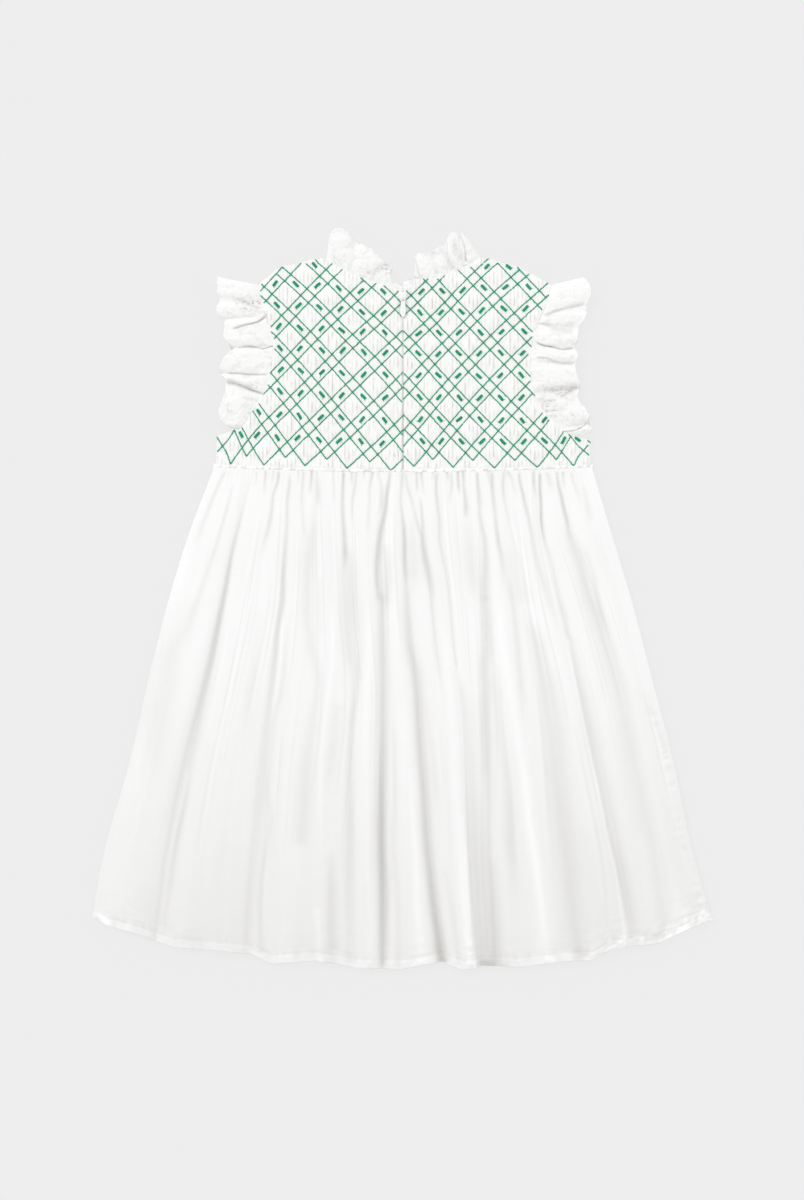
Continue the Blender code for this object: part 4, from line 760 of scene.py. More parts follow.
def maths(tree, operation, *values, clamp=False):
    node = tree.nodes.new("ShaderNodeMath")
    node.operation = operation
    node.use_clamp = clamp
    for socket, value in zip(node.inputs, values):
        if isinstance(value, bpy.types.NodeSocket):
            tree.links.new(value, socket)
        else:
            socket.default_value = value
    return node.outputs[0]


def finish_tree(tree, geometry, material):
    whole = add(tree, "GeometryNodeRealizeInstances", Geometry=geometry)
    smooth = add(tree, "GeometryNodeSetShadeSmooth", Geometry=whole.outputs[0])
    painted = add(tree, "GeometryNodeSetMaterial", Geometry=smooth.outputs[0], Material=material)
    end = tree.nodes.new("NodeGroupOutput")
    tree.links.new(painted.outputs[0], end.inputs[0])
    return tree


def stitch_tree():
    """A stitch on each point, along the point's aim and as long as its span. Blunt stitches, with a
    power below 1, keep their width nearly to their ends."""
    tree = new_tree("stitches", (
        ("Points", "NodeSocketGeometry", None), ("Thickness", "NodeSocketFloat", THREAD_THICK * MM),
        ("Sides", "NodeSocketInt", 6), ("Uneven", "NodeSocketFloat", 0.12), ("Blunt", "NodeSocketFloat", 0.7),
        ("Seed", "NodeSocketInt", 5), ("Thread", "NodeSocketMaterial", None)))
    start = tree.nodes.new("NodeGroupInput").outputs
    aim = add(tree, "GeometryNodeInputNamedAttribute", {"data_type": "FLOAT_VECTOR"}, Name="aim")
    span = add(tree, "GeometryNodeInputNamedAttribute", {"data_type": "FLOAT"}, Name="span")
    turn = add(tree, "FunctionNodeAlignRotationToVector", {"axis": "Z"}, Vector=aim.outputs[0])
    chance = tree.nodes.new("FunctionNodeRandomValue")
    chance.data_type = "FLOAT"
    tree.links.new(start["Seed"], chance.inputs["Seed"])
    low_high = maths(tree, "SUBTRACT", chance.outputs[1], 0.5)
    vary = maths(tree, "MULTIPLY_ADD", low_high, maths(tree, "MULTIPLY", start["Uneven"], 2.0), 1.0)
    thick = maths(tree, "MULTIPLY", start["Thickness"], vary)
    size = add(tree, "ShaderNodeCombineXYZ", X=thick, Y=thick, Z=span.outputs[0])
    bead = add(tree, "GeometryNodeMeshUVSphere", Segments=start["Sides"], Rings=6, Radius=0.5)
    place = add(tree, "ShaderNodeSeparateXYZ", Vector=tree.nodes.new("GeometryNodeInputPosition").outputs[0])
    along = maths(tree, "MULTIPLY", maths(tree, "ABSOLUTE", place.outputs["Z"]), 2.0)
    pushed = maths(tree, "MULTIPLY", maths(tree, "POWER", along, start["Blunt"]), 0.5)
    pushed = maths(tree, "MULTIPLY", pushed, maths(tree, "SIGN", place.outputs["Z"]))
    spot = add(tree, "ShaderNodeCombineXYZ", X=place.outputs["X"], Y=place.outputs["Y"], Z=pushed)
    stitch = add(tree, "GeometryNodeSetPosition", Geometry=bead.outputs[0], Position=spot.outputs[0])
    laid = add(tree, "GeometryNodeInstanceOnPoints", Points=start["Points"], Instance=stitch.outputs[0],
               Rotation=turn.outputs[0], Scale=size.outputs[0])
    tinted = add(tree, "GeometryNodeStoreNamedAttribute", {"data_type": "FLOAT", "domain": "INSTANCE"},
                 Geometry=laid.outputs[0], Name="tint", Value=chance.outputs[1])
    return finish_tree(tree, tinted.outputs[0], start["Thread"])


def pleat_tree():
    """Raises pleats on a sheet: one for each whole number of "pleat", where "free" is above 0.

    They come and go along the cloth, and painted shade is added to the fold value in the troughs between
    them."""
    tree = new_tree("raised_pleats", (
        ("Cloth", "NodeSocketGeometry", None), ("Depth", "NodeSocketFloat", MM),
        ("Roundness", "NodeSocketFloat", 0.7), ("Contrast", "NodeSocketFloat", 3.0),
        ("Share", "NodeSocketFloat", 0.5), ("Change Along", "NodeSocketFloat", 60.0),
        ("Seed", "NodeSocketFloat", 3.0), ("Shade", "NodeSocketFloat", 0.2),
        ("Finish", "NodeSocketMaterial", None)))
    start = tree.nodes.new("NodeGroupInput").outputs
    pleat = add(tree, "GeometryNodeInputNamedAttribute", {"data_type": "FLOAT"}, Name="pleat")
    free = add(tree, "GeometryNodeInputNamedAttribute", {"data_type": "FLOAT"}, Name="free")
    fold = add(tree, "GeometryNodeInputNamedAttribute", {"data_type": "FLOAT"}, Name="fold")
    wave = maths(tree, "ABSOLUTE", maths(tree, "SINE", maths(tree, "MULTIPLY", pleat.outputs[0], math.pi)))
    ridge = maths(tree, "POWER", wave, start["Roundness"])
    place = add(tree, "ShaderNodeSeparateXYZ", Vector=tree.nodes.new("GeometryNodeInputPosition").outputs[0])
    along = maths(tree, "MULTIPLY", place.outputs["Y"], start["Change Along"])
    across = maths(tree, "MULTIPLY_ADD", pleat.outputs[0], 0.9, start["Seed"])
    spot = add(tree, "ShaderNodeCombineXYZ", X=across, Y=along)
    noise = add(tree, "ShaderNodeTexNoise", Vector=spot.outputs[0], Scale=1.0, Detail=1.0)
    centred = maths(tree, "SUBTRACT", noise.outputs[0], 0.5)
    presence = maths(tree, "MULTIPLY_ADD", centred, start["Contrast"], start["Share"], clamp=True)
    strength = maths(tree, "MULTIPLY", free.outputs[0], presence)
    height = maths(tree, "MULTIPLY", maths(tree, "MULTIPLY", ridge, strength), start["Depth"])
    lift = add(tree, "ShaderNodeCombineXYZ", Z=height)
    raised = add(tree, "GeometryNodeSetPosition", Geometry=start["Cloth"], Offset=lift.outputs[0])
    trough = maths(tree, "MULTIPLY", maths(tree, "SUBTRACT", 1.0, ridge), strength)
    shade = maths(tree, "MULTIPLY_ADD", trough, start["Shade"], fold.outputs[0])
    shaded = add(tree, "GeometryNodeStoreNamedAttribute", {"data_type": "FLOAT", "domain": "POINT"},
                 Geometry=raised.outputs[0], Name="fold", Value=shade)
    return finish_tree(tree, shaded.outputs[0], start["Finish"])


def run_tree(piece, tree, **inputs):
    """Put a tree on a piece with its inputs set, and keep the result as a plain mesh."""
    shaper = piece.modifiers.new(tree.name, "NODES")
    shaper.node_group = tree
    for item in tree.interface.items_tree:
        if item.item_type == "SOCKET" and item.in_out == "INPUT":
            key = item.name.lower().replace(" ", "_")
            if key in inputs:
                shaper[item.identifier] = inputs[key]
    return settle(piece)


def stitches(name, points, aims, spans, thread, **inputs):
    """Piece of thread work: places, directions and lengths in millimetres."""
    piece = mesh_piece(name, points, [])
    aim = piece.data.attributes.new("aim", "FLOAT_VECTOR", "POINT")
    aim.data.foreach_set("vector", np.asarray(aims, np.float32).ravel())
    span = piece.data.attributes.new("span", "FLOAT", "POINT")
    span.data.foreach_set("value", np.asarray(spans, np.float32) * MM)
    return run_tree(piece, STITCHES, thread=thread, **inputs)


# ---- finishes ----

def shader_group(name, inputs, outputs):
    group = bpy.data.node_groups.new(name, "ShaderNodeTree")
    for label, kind, value in inputs:
        socket = group.interface.new_socket(label, in_out="INPUT", socket_type=kind)
        if value is not None:
            socket.default_value = value
    for label, kind in outputs:
        group.interface.new_socket(label, in_out="OUTPUT", socket_type=kind)
    return group, group.nodes.new("NodeGroupInput").outputs, group.nodes.new("NodeGroupOutput").inputs


def weave_group():
    """Plain weave on cloth coordinates in metres, with thicker threads here and there."""
    group, start, end = shader_group(
        "plain_weave",
        (("Vector", "NodeSocketVector", None), ("Threads", "NodeSocketFloat", 2600.0),
         ("Slub", "NodeSocketFloat", 0.02)),
        (("Height", "NodeSocketFloat"), ("Shade", "NodeSocketFloat")))
    parts = add(group, "ShaderNodeSeparateXYZ", Vector=start["Vector"])
    turns = maths(group, "MULTIPLY", start["Threads"], math.pi)
    warp = maths(group, "SINE", maths(group, "MULTIPLY", parts.outputs["X"], turns))
    weft = maths(group, "SINE", maths(group, "MULTIPLY", parts.outputs["Y"], turns))
    group.links.new(maths(group, "MULTIPLY", warp, weft), end["Height"])
    shades = []
    for stretch in ((900.0, 28.0, 0.0), (30.0, 700.0, 0.0)):
        spread = add(group, "ShaderNodeMapping", Vector=start["Vector"], Scale=stretch)
        noise = add(group, "ShaderNodeTexNoise", Vector=spread.outputs[0], Scale=1.0, Detail=2.0)
        shades.append(maths(group, "SUBTRACT", noise.outputs[0], 0.5))
    both = maths(group, "ADD", *shades)
    group.links.new(maths(group, "MULTIPLY_ADD", both, start["Slub"], 1.0), end["Shade"])
    return group


def crinkle_group():
    """Small soft creases, in metres of height."""
    group, start, end = shader_group(
        "soft_crinkle",
        (("Vector", "NodeSocketVector", None), ("Size", "NodeSocketFloat", 200.0),
         ("Stretch", "NodeSocketVector", (1.0, 1.0, 1.0))),
        (("Height", "NodeSocketFloat"),))
    spread = add(group, "ShaderNodeMapping", Vector=start["Vector"], Scale=start["Stretch"])
    noise = add(group, "ShaderNodeTexNoise", Vector=spread.outputs[0], Scale=start["Size"], Detail=3.0,
                Distortion=0.6)
    group.links.new(noise.outputs[0], end["Height"])
    return group


def tone_group():
    """Cloth colour: painted shade darkens it towards a warmer shadow colour where the fold value is high,
    and it turns greyer where the greying value is high.
    """
    group, start, end = shader_group(
        "cloth_tone",
        (("Cloth", "NodeSocketColor", (0.9, 0.9, 0.9, 1.0)),
         ("Deep", "NodeSocketColor", (0.6, 0.59, 0.56, 1.0)),
         ("Thin", "NodeSocketColor", (0.8, 0.8, 0.8, 1.0)), ("Fold", "NodeSocketFloat", 0.0),
         ("Sheer", "NodeSocketFloat", 0.0), ("Shade", "NodeSocketFloat", 1.0)),
        (("Color", "NodeSocketColor"),))
    thin = add(group, "ShaderNodeMix", {"data_type": "RGBA"})
    group.links.new(start["Sheer"], thin.inputs["Factor"])
    group.links.new(start["Cloth"], thin.inputs[6])
    group.links.new(start["Thin"], thin.inputs[7])
    deep = add(group, "ShaderNodeMix", {"data_type": "RGBA"})
    group.links.new(start["Fold"], deep.inputs["Factor"])
    group.links.new(thin.outputs[2], deep.inputs[6])
    group.links.new(start["Deep"], deep.inputs[7])
    worn = add(group, "ShaderNodeMix", {"data_type": "RGBA", "blend_type": "MULTIPLY"}, Factor=1.0)
    group.links.new(deep.outputs[2], worn.inputs[6])
    grey = add(group, "ShaderNodeCombineColor", Red=start["Shade"], Green=start["Shade"], Blue=start["Shade"])
    group.links.new(grey.outputs[0], worn.inputs[7])
    group.links.new(worn.outputs[2], end["Color"])
    return group


def twist_group():
    """Twisted thread: fine slanting strands, and stitches that differ a little in shade."""
    group, start, end = shader_group(
        "thread_twist",
        (("Vector", "NodeSocketVector", None), ("Tint", "NodeSocketFloat", 0.5),
         ("Strands", "NodeSocketFloat", 900.0)),
        (("Height", "NodeSocketFloat"), ("Shade", "NodeSocketFloat")))
    wave = add(group, "ShaderNodeTexWave", {"bands_direction": "DIAGONAL"}, Vector=start["Vector"],
               Scale=start["Strands"], Distortion=1.5, Detail=1.0)
    group.links.new(wave.outputs["Fac"], end["Height"])
    light = maths(group, "MULTIPLY_ADD", start["Tint"], 0.35, 0.80)
    group.links.new(maths(group, "MULTIPLY_ADD", wave.outputs["Fac"], 0.08, light), end["Shade"])
    return group


def new_finish(name, roughness, sheen=0.0, specular=0.5, coat=0.0):
    material = bpy.data.materials.new(name)
    material.use_nodes = True
    tree = material.node_tree
    shader = tree.nodes["Principled BSDF"]
    shader.inputs["Roughness"].default_value = roughness
    shader.inputs["Sheen Weight"].default_value = sheen
    shader.inputs["Sheen Roughness"].default_value = 0.5
    shader.inputs["Specular IOR Level"].default_value = specular
    shader.inputs["Coat Weight"].default_value = coat
    return material, tree, shader


def place_group(tree, group, **inputs):
    node = tree.nodes.new("ShaderNodeGroup")
    node.node_tree = group
    for key, value in inputs.items():
        socket = node.inputs[key]
        if isinstance(value, bpy.types.NodeSocket):
            tree.links.new(value, socket)
        else:
            socket.default_value = value
    return node.outputs


def bump(tree, height, strength, distance, below=None):
    node = add(tree, "ShaderNodeBump", Strength=strength, Distance=distance * MM, Height=height)
    if below is not None:
        tree.links.new(below, node.inputs["Normal"])
    return node.outputs[0]


def point_value(tree, label):
    settings = {"attribute_type": "GEOMETRY", "attribute_name": label}
    return add(tree, "ShaderNodeAttribute", settings).outputs["Fac"]


def cloth_finish(name, cloth, deep, thin, threads, slub, crinkle_size, crinkle_depth, stretch=(1.0, 1.0, 1.0),
                 eyelets=0.0):
    """White woven cloth. Coordinates run along the cloth, from its own UV map in metres."""
    material, tree, shader = new_finish(name, 0.85, sheen=0.15, specular=0.2)
    along = add(tree, "ShaderNodeUVMap", {"uv_map": "cloth"}).outputs[0]
    weave = place_group(tree, WEAVE, Vector=along, Threads=threads, Slub=slub)
    crinkle = place_group(tree, CRINKLE, Vector=along, Size=crinkle_size, Stretch=stretch)
    # the fold value on the points is painted shade that darkens the cloth towards its shadow colour, and the
    # greying value greys it
    colour = place_group(tree, TONE, Cloth=(*cloth, 1.0), Deep=(*deep, 1.0), Thin=(*thin, 1.0),
                         Fold=point_value(tree, "fold"), Sheer=point_value(tree, "sheer"),
                         Shade=weave["Shade"])
    tree.links.new(colour["Color"], shader.inputs["Base Color"])
    normal = bump(tree, crinkle["Height"], 0.6, crinkle_depth)
    if eyelets:
        swirl = add(tree, "ShaderNodeTexVoronoi", {"feature": "SMOOTH_F1"}, Vector=along, Scale=eyelets)
        rings = maths(tree, "SINE", maths(tree, "MULTIPLY", swirl.outputs["Distance"], 14.0))
        normal = bump(tree, rings, 0.35, 0.25, normal)
    normal = bump(tree, weave["Height"], 0.25, 0.06, normal)
    tree.links.new(normal, shader.inputs["Normal"])
    return material


def thread_finish(name, colour, roughness=0.55):
    material, tree, shader = new_finish(name, roughness, sheen=0.1, specular=0.3)
    where = add(tree, "ShaderNodeTexCoord").outputs["Object"]
    twist = place_group(tree, TWIST, Vector=where, Tint=point_value(tree, "tint"))
    painted = place_group(tree, TONE, Cloth=(*colour, 1.0), Deep=(*colour, 1.0), Thin=(*colour, 1.0),
                          Shade=twist["Shade"])
    tree.links.new(painted["Color"], shader.inputs["Base Color"])
    tree.links.new(bump(tree, twist["Height"], 0.4, 0.08), shader.inputs["Normal"])
    return material


def enamel_finish(name, colour, roughness):
    """Painted metal of the slider and the pull tab, slightly dulled in places."""
    material, tree, shader = new_finish(name, roughness, specular=0.5, coat=0.3)
    where = add(tree, "ShaderNodeTexCoord").outputs["Object"]
    cloudy = add(tree, "ShaderNodeTexNoise", Vector=where, Scale=700.0, Detail=2.0)
    shade = maths(tree, "MULTIPLY_ADD", cloudy.outputs[0], 0.08, 0.94)
    painted = place_group(tree, TONE, Cloth=(*colour, 1.0), Deep=(*colour, 1.0), Thin=(*colour, 1.0),
                          Shade=shade)
    tree.links.new(painted["Color"], shader.inputs["Base Color"])
    tree.links.new(maths(tree, "MULTIPLY_ADD", cloudy.outputs[0], 0.15, roughness - 0.07),
                   shader.inputs["Roughness"])
    tree.links.new(bump(tree, cloudy.outputs[0], 0.1, 0.05), shader.inputs["Normal"])
    return material


STITCHES = stitch_tree()
PLEATS = pleat_tree()
WEAVE = weave_group()
CRINKLE = crinkle_group()
TONE = tone_group()
TWIST = twist_group()
# each cloth has its own colour, then the colour its painted shade in folds darkens towards, then the grey it
# turns to
SMOCKED = cloth_finish("smocked_white_cloth", (0.965, 0.965, 0.96), (0.575, 0.568, 0.555),
                       (0.88, 0.88, 0.875), 2200.0, 0.03, 500.0, 0.15)
VOILE = cloth_finish("skirt_white_voile", (0.975, 0.974, 0.973), (0.58, 0.57, 0.55), (0.892, 0.889, 0.885),
                     2600.0, 0.02, 90.0, 0.2, (1.0, 0.5, 1.0))
FRILLED = cloth_finish("frill_white_voile", (0.965, 0.963, 0.96), (0.58, 0.568, 0.55), (0.86, 0.86, 0.85),
                       2600.0, 0.03, 420.0, 0.5, eyelets=190.0)
TAPE = cloth_finish("zip_tape_weave", (0.92, 0.92, 0.915), (0.6, 0.6, 0.58), (0.8, 0.8, 0.8),
                    1600.0, 0.03, 300.0, 0.1)
GREEN = thread_finish("green_smocking_thread", (0.0033, 0.32, 0.155))
WHITE = thread_finish("white_sewing_thread", (0.95, 0.95, 0.945))
ENAMEL = enamel_finish("white_enamel", (0.965, 0.965, 0.96), 0.4)


# ---- back bodice ----

def row_limits(outline, heights):
    """Inner and outer end of each row of the half bodice."""
    inner = np.zeros(len(heights))
    outer = np.zeros(len(heights))
    for k, y in enumerate(heights):
        crossings = [(x2 - x1) * (y - y1) / (y2 - y1) + x1
                     for (x1, y1), (x2, y2) in zip(outline, np.roll(outline, -1, axis=0))
                     if (y1 > y) != (y2 > y)]
        inner[k], outer[k] = min(crossings), max(crossings)
    return inner, outer


def smocked_half(name, side):
    outline = back_outline(side)
    low_end = waist_y(0.0) - WAIST_LAP
    heights = np.append(np.arange(outline[:, 1].max() - 0.05, low_end + 0.4, -1.15), low_end)
    outs = PLEAT_START + PLEAT_PITCH * np.arange(0, PLEATS_IN_HALF * STEPS_IN_PLEAT + 1) / STEPS_IN_PLEAT
    outs = np.concatenate([[ZIP_EDGE, (ZIP_EDGE + PLEAT_START) / 2], outs])
    inner, outer = row_limits(outline[outline[:, 1] > 0], np.maximum(heights, low_end + 0.3))
    low = heights < waist_y(HALF_WAIST) + 0.5
    outer[low] = HALF_WAIST
    inner[low] = ZIP_EDGE
    out = np.clip(outs[None, :], inner[:, None], outer[:, None])
    y = np.maximum(np.broadcast_to(heights[:, None], out.shape), waist_y(out) - WAIST_LAP)
    x = side * out
    beside_zip = smoothstep(out, 0.1, 1.6)
    above_waist = smoothstep(y - waist_y(x), 0.0, 3.0)
    from_edge = smoothstep(outer[:, None] - out, 0.0, 3.0) * smoothstep(out - inner[:, None], 0.0, 2.5)
    swell = puff_height(side, x, y)
    open_cloth = beside_zip * (0.45 + 0.55 * above_waist)
    z = bodice_base(x, y) + 1.0 * swell * open_cloth * (0.4 + 0.6 * from_edge)
    z = z + 0.12 * soft_noise(x / 9.0, y / 9.0, 11) + 0.06 * soft_noise(x / 2.6, y / 4.0, 12)
    z = z - 0.3 * np.exp(-(out / 0.9) ** 2)
    free = open_cloth * (0.30 + 0.70 * swell)
    # painted shade: the two halves meet over the zip in a dark line painted into their colour, darker further
    # down
    meeting = np.exp(-(out / 0.55) ** 2) * (0.45 + 0.5 * smoothstep(ZIP_TOP_Y - y, 30.0, 90.0))
    half = grid_piece(name + "_smocking", x, y, z, (x, y), side > 0, pleat=(out - PLEAT_START) / PLEAT_PITCH,
                      free=free, fold=meeting, sheer=np.zeros_like(x))
    if side < 0:
        half.data.flip_normals()
    weld(half, 0.9)
    run_tree(half, PLEATS, depth=0.85 * MM, roundness=0.5, contrast=5.0, share=0.44, change_along=120.0,
             seed=3.0 + side, shade=0.62, finish=SMOCKED)
    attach(half, "dress")
    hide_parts(name)
    return half


def thread_level(x, y):
    """Height of a thread that lies on the pleats it holds."""
    return bodice_base(x, y) + 0.34


def trellis_thread():
    """Lines of short stitches, in pairs, crossing in diamonds. Nine stitches make one repeat."""
    places, aims, spans = [], [], []
    chance = np.random.default_rng(21)
    marks = THREAD_LINES[0] + (np.arange(-82, 118) + 0.5) / STITCHES_PER_REPEAT
    for side in (-1, 1):
        outline = back_outline(side)
        for direction in (0, 1):
            for repeat in range(-8, 10):
                for line in THREAD_LINES:
                    fixed = np.full_like(marks, repeat + line)
                    u, v = (fixed, marks) if direction == 0 else (marks, fixed)
                    half_step = 0.5 / STITCHES_PER_REPEAT
                    du, dv = (0.0, half_step) if direction == 0 else (half_step, 0.0)
                    x1, y1 = trellis_xy(side, u - du + v - dv, u - du - v + dv)
                    x2, y2 = trellis_xy(side, u + du + v + dv, u + du - v - dv)
                    a, b = u + v, u - v
                    middle_inside = lies_inside(outline, side * (x1 + x2) / 2, (y1 + y2) / 2)
                    keep = (b > lowest_chain(a) - 0.02) & middle_inside
                    ends_inside = lies_inside(outline, side * x1, y1) & lies_inside(outline, side * x2, y2)
                    keep &= ends_inside | (b < 0) | (np.abs(x1 + x2) < 3)
                    x1, y1, x2, y2 = (values[keep] for values in (x1, y1, x2, y2))
                    # a stitch that would cross the zip ends beside it
                    out1, out2 = side * x1, side * x2
                    cut1, cut2 = np.maximum(out1, ZIP_EDGE + 0.2), np.maximum(out2, ZIP_EDGE + 0.2)
                    share1 = np.where(out1 < cut1, (cut1 - out1) / (out2 - out1), 0.0)
                    share2 = np.where(out2 < cut2, (cut2 - out2) / (out1 - out2), 0.0)
                    x1, y1, x2, y2 = (x1 + (x2 - x1) * share1, y1 + (y2 - y1) * share1,
                                      x2 + (x1 - x2) * share2, y2 + (y1 - y2) * share2)
                    slip = chance.normal(0.0, 0.10, (4, len(x1)))
                    x1, y1, x2, y2 = x1 + slip[0], y1 + slip[1], x2 + slip[2], y2 + slip[3]
                    size = np.hypot(x2 - x1, y2 - y1)
                    level = thread_level((x1 + x2) / 2, (y1 + y2) / 2)
                    for k in np.nonzero(size > 0.8)[0]:
                        places.append(((x1[k] + x2[k]) / 2, (y1[k] + y2[k]) / 2, level[k]))
                        aims.append(((x2[k] - x1[k]) / size[k], (y2[k] - y1[k]) / size[k], 0.0))
                        spans.append(size[k] * 1.24)
    return stitches("trellis_stitches", places, aims, spans, GREEN, thickness=THREAD_THICK * MM, sides=6,
                    uneven=0.12, seed=4)


def trellis_bars():
    """Satin bars of three threads in the channels of the trellis, each with a short tail."""
    places, aims, spans = [], [], []
    tails, tail_aims, tail_spans = [], [], []
    chance = np.random.default_rng(8)
    for side in (-1, 1):
        outline = back_outline(side)
        for n in range(-8, 12):
            for m in range(-8, 12):
                for u, v, du, dv in ((n, m + 0.5, 0.0, 0.05), (n + 0.5, m, 0.05, 0.0)):
                    x, y = trellis_xy(side, u + v, u - v)
                    if u - v < -1.2:
                        continue
                    ex, ey = trellis_xy(side, u + du + v + dv, u + du - v - dv)
                    angle = math.atan2(ey - y, ex - x) + chance.normal(0, 0.07)
                    dx, dy = math.cos(angle), math.sin(angle)
                    ends = np.array([(x + dx * r, y + dy * r) for r in (-2.8, 0.0, 2.8)])
                    if not lies_inside(outline, side * ends[:, 0], ends[:, 1]).all() or abs(x) < 3.5:
                        continue
                    x, y = x + chance.normal(0, 0.3), y + chance.normal(0, 0.3)
                    length = BAR_LENGTH + chance.uniform(-0.5, 0.5)
                    for strand in BAR_STRANDS:
                        sx, sy = x - dy * strand, y + dx * strand
                        places.append((sx, sy, thread_level(sx, sy) + 0.35 + chance.uniform(0, 0.1)))
                        aims.append((dx, dy, 0.0))
                        spans.append(length + chance.uniform(-0.3, 0.3))
                    low = -1 if dy > 0 else 1
                    tx, ty = x + dx * low * 2.4 - dy * 0.9, y + dy * low * 2.4 + dx * 0.9
                    tails.append((tx, ty, thread_level(tx, ty) + 0.1))
                    tail_aims.append((-dy * 0.8 + dx * low * 0.5, dx * 0.8 + dy * low * 0.5, 0.0))
                    tail_spans.append(2.2)
    bars = stitches("smocking_bars", places, aims, spans, GREEN, thickness=1.0 * MM, sides=6, uneven=0.08,
                    blunt=0.55, seed=9)
    ends = stitches("bar_thread_ends", tails, tail_aims, tail_spans, GREEN, thickness=0.34 * MM, sides=5,
                    uneven=0.2, seed=10)
    return bars, ends


# ---- skirt ----

def skirt_lines_x(y):
    return [smooth_through(STATIONS, line.x_at, y) for line in SKIRT_LINES]


def hem_y(x):
    points = np.array(HEM)
    return np.interp(x, points[:, 0], points[:, 1])


def skirt_grid(columns_per_gather, shares):
    """Plan of the skirt: x, y, share of the length, gather count, place between two lines."""
    spans = [line.gathers for line in SKIRT_LINES[:-1]]
    starts = np.concatenate([[0], np.cumsum(spans)])
    gather = np.linspace(0, starts[-1], starts[-1] * columns_per_gather + 1)
    line_index = np.clip(np.searchsorted(starts, gather, side="right") - 1, 0, len(spans) - 1)
    within = (gather - starts[line_index]) / np.array(spans)[line_index]

    def x_at(y):
        lines = np.array(skirt_lines_x(y))
        return (np.take_along_axis(lines, np.broadcast_to(line_index, y.shape)[None], 0)[0] * (1 - within)
                + np.take_along_axis(lines, np.broadcast_to(line_index + 1, y.shape)[None], 0)[0] * within)

    columns = len(gather)
    top_x = x_at(np.full((1, columns), STATIONS[0]))[0]
    low_x = np.clip(x_at(np.full((1, columns), STATIONS[-1]))[0], HEM[0][0], HEM[-1][0])
    top_y = waist_y(top_x) - GAP / 2
    share = np.broadcast_to(shares[:, None], (len(shares), columns))
    y = top_y[None, :] + (hem_y(low_x) - top_y)[None, :] * share
    x = x_at(y)
    return x, y, share, np.broadcast_to(gather, x.shape), np.broadcast_to(within, x.shape), \
        np.broadcast_to(line_index, x.shape)


def fine_lines(gather, below):
    """Painted shade of the fine lines that run down from the gathers, each with its own place, length and
    strength, and a painted highlight beside it."""
    chance = np.random.default_rng(44)
    shade = np.zeros_like(gather)
    for _ in range(FINE_LINES):
        at = chance.uniform(1.5, 50.5)
        start, length = chance.uniform(-20.0, 200.0), chance.uniform(70.0, 200.0)
        strength, wide = chance.uniform(0.05, 0.15), chance.uniform(0.08, 0.17)
        side = chance.choice((-1.0, 1.0))
        along = smoothstep(below, start, start + 0.35 * length) * (1 - smoothstep(below, start + 0.6 * length,
                                                                                  start + length))
        offset = (gather - at) * side
        line = np.exp(-(offset / wide) ** 2) - 0.6 * np.exp(-((offset - 1.8 * wide) / wide) ** 2)
        shade += strength * along * line
    return shade


def skirt_height(x, y, share, gather, within, line_index):
    """Height of the skirt's outer face, without its small gathers, and its fold shade."""
    lines = skirt_lines_x(y)
    below = waist_y(x) - y
    to_edge = np.minimum(x - lines[0], lines[-1] - x)
    lift = np.interp(share, (0.25, 1.0), (SKIRT_LIFT_MIDDLE, SKIRT_LIFT_HEM))
    low_roof = lift * np.sin(math.pi / 2 * np.clip(to_edge / SKIRT_EDGE_WIDTH, 0, 1))
    turn = smoothstep(below, 0.0, WAIST_BLEND)
    z = LAYER + bodice_roof(x, WAIST_Y) * (1 - turn) + low_roof * turn + WALL
    billow = np.array([line.billow for line in SKIRT_LINES])[line_index]
    z = z + billow * np.sin(np.pi * within) ** 0.8 * smoothstep(below, 5.0, 80.0)
    for line, at in zip(SKIRT_LINES, lines):
        if line.depth_hem == 0.0:
            continue
        offset = x - at
        width = np.where(offset < 0, line.width_left, line.width_right)
        depth = line.depth_waist + (line.depth_hem - line.depth_waist) * np.minimum(1.0, share * 1.6)
        z = z - smoothstep(below, 0.0, 30.0) * depth / (1 + (offset / width) ** 2) ** 2
        edge = np.where(offset <= 0.01, np.exp(offset / 9.0), 0.0)
        z = z + line.lip * smoothstep(below, 10.0, 60.0) * edge
    away = np.clip(to_edge / 14.0, 0, 1)
    crease_height, shade = crease_relief(x, y, SKIRT_CREASES)
    shade = shade * (0.84 + 0.16 * smoothstep(below, 40.0, 100.0))
    z = z + crease_height * np.clip(to_edge / 5.0, 0, 1)
    drift = gather + 0.35 * soft_noise(gather / 3.0, y / 90.0, 5)
    long_fold = soft_noise(drift * 0.5, y / 140.0, 7) * 0.35 + soft_noise(drift * 1.3, y / 60.0, 8) * 0.15
    z = z + long_fold * smoothstep(below, 8.0, 60.0) * away
    small = soft_noise(x / 9.0, y / 18.0, 13) * 0.12 + soft_noise(x / 3.5, y / 5.0, 14) * 0.04
    z = z + small * away
    streaks = soft_noise(drift * 2.1, y / 150.0, 41) * 0.025 + soft_noise(drift * 0.8, y / 200.0, 42) * 0.025
    # the skirt's general painted shade, adjusted to measured brightness, darker further down and a little
    # darker still in a band under the waist
    overall = 0.042 + 0.033 * smoothstep(below, 0.0, 90.0) + 0.032 * np.exp(-((below - 52.0) / 28.0) ** 2)
    shade = shade + streaks + fine_lines(drift, below) + overall
    return z, np.clip(shade, -0.2, 1), to_edge, below


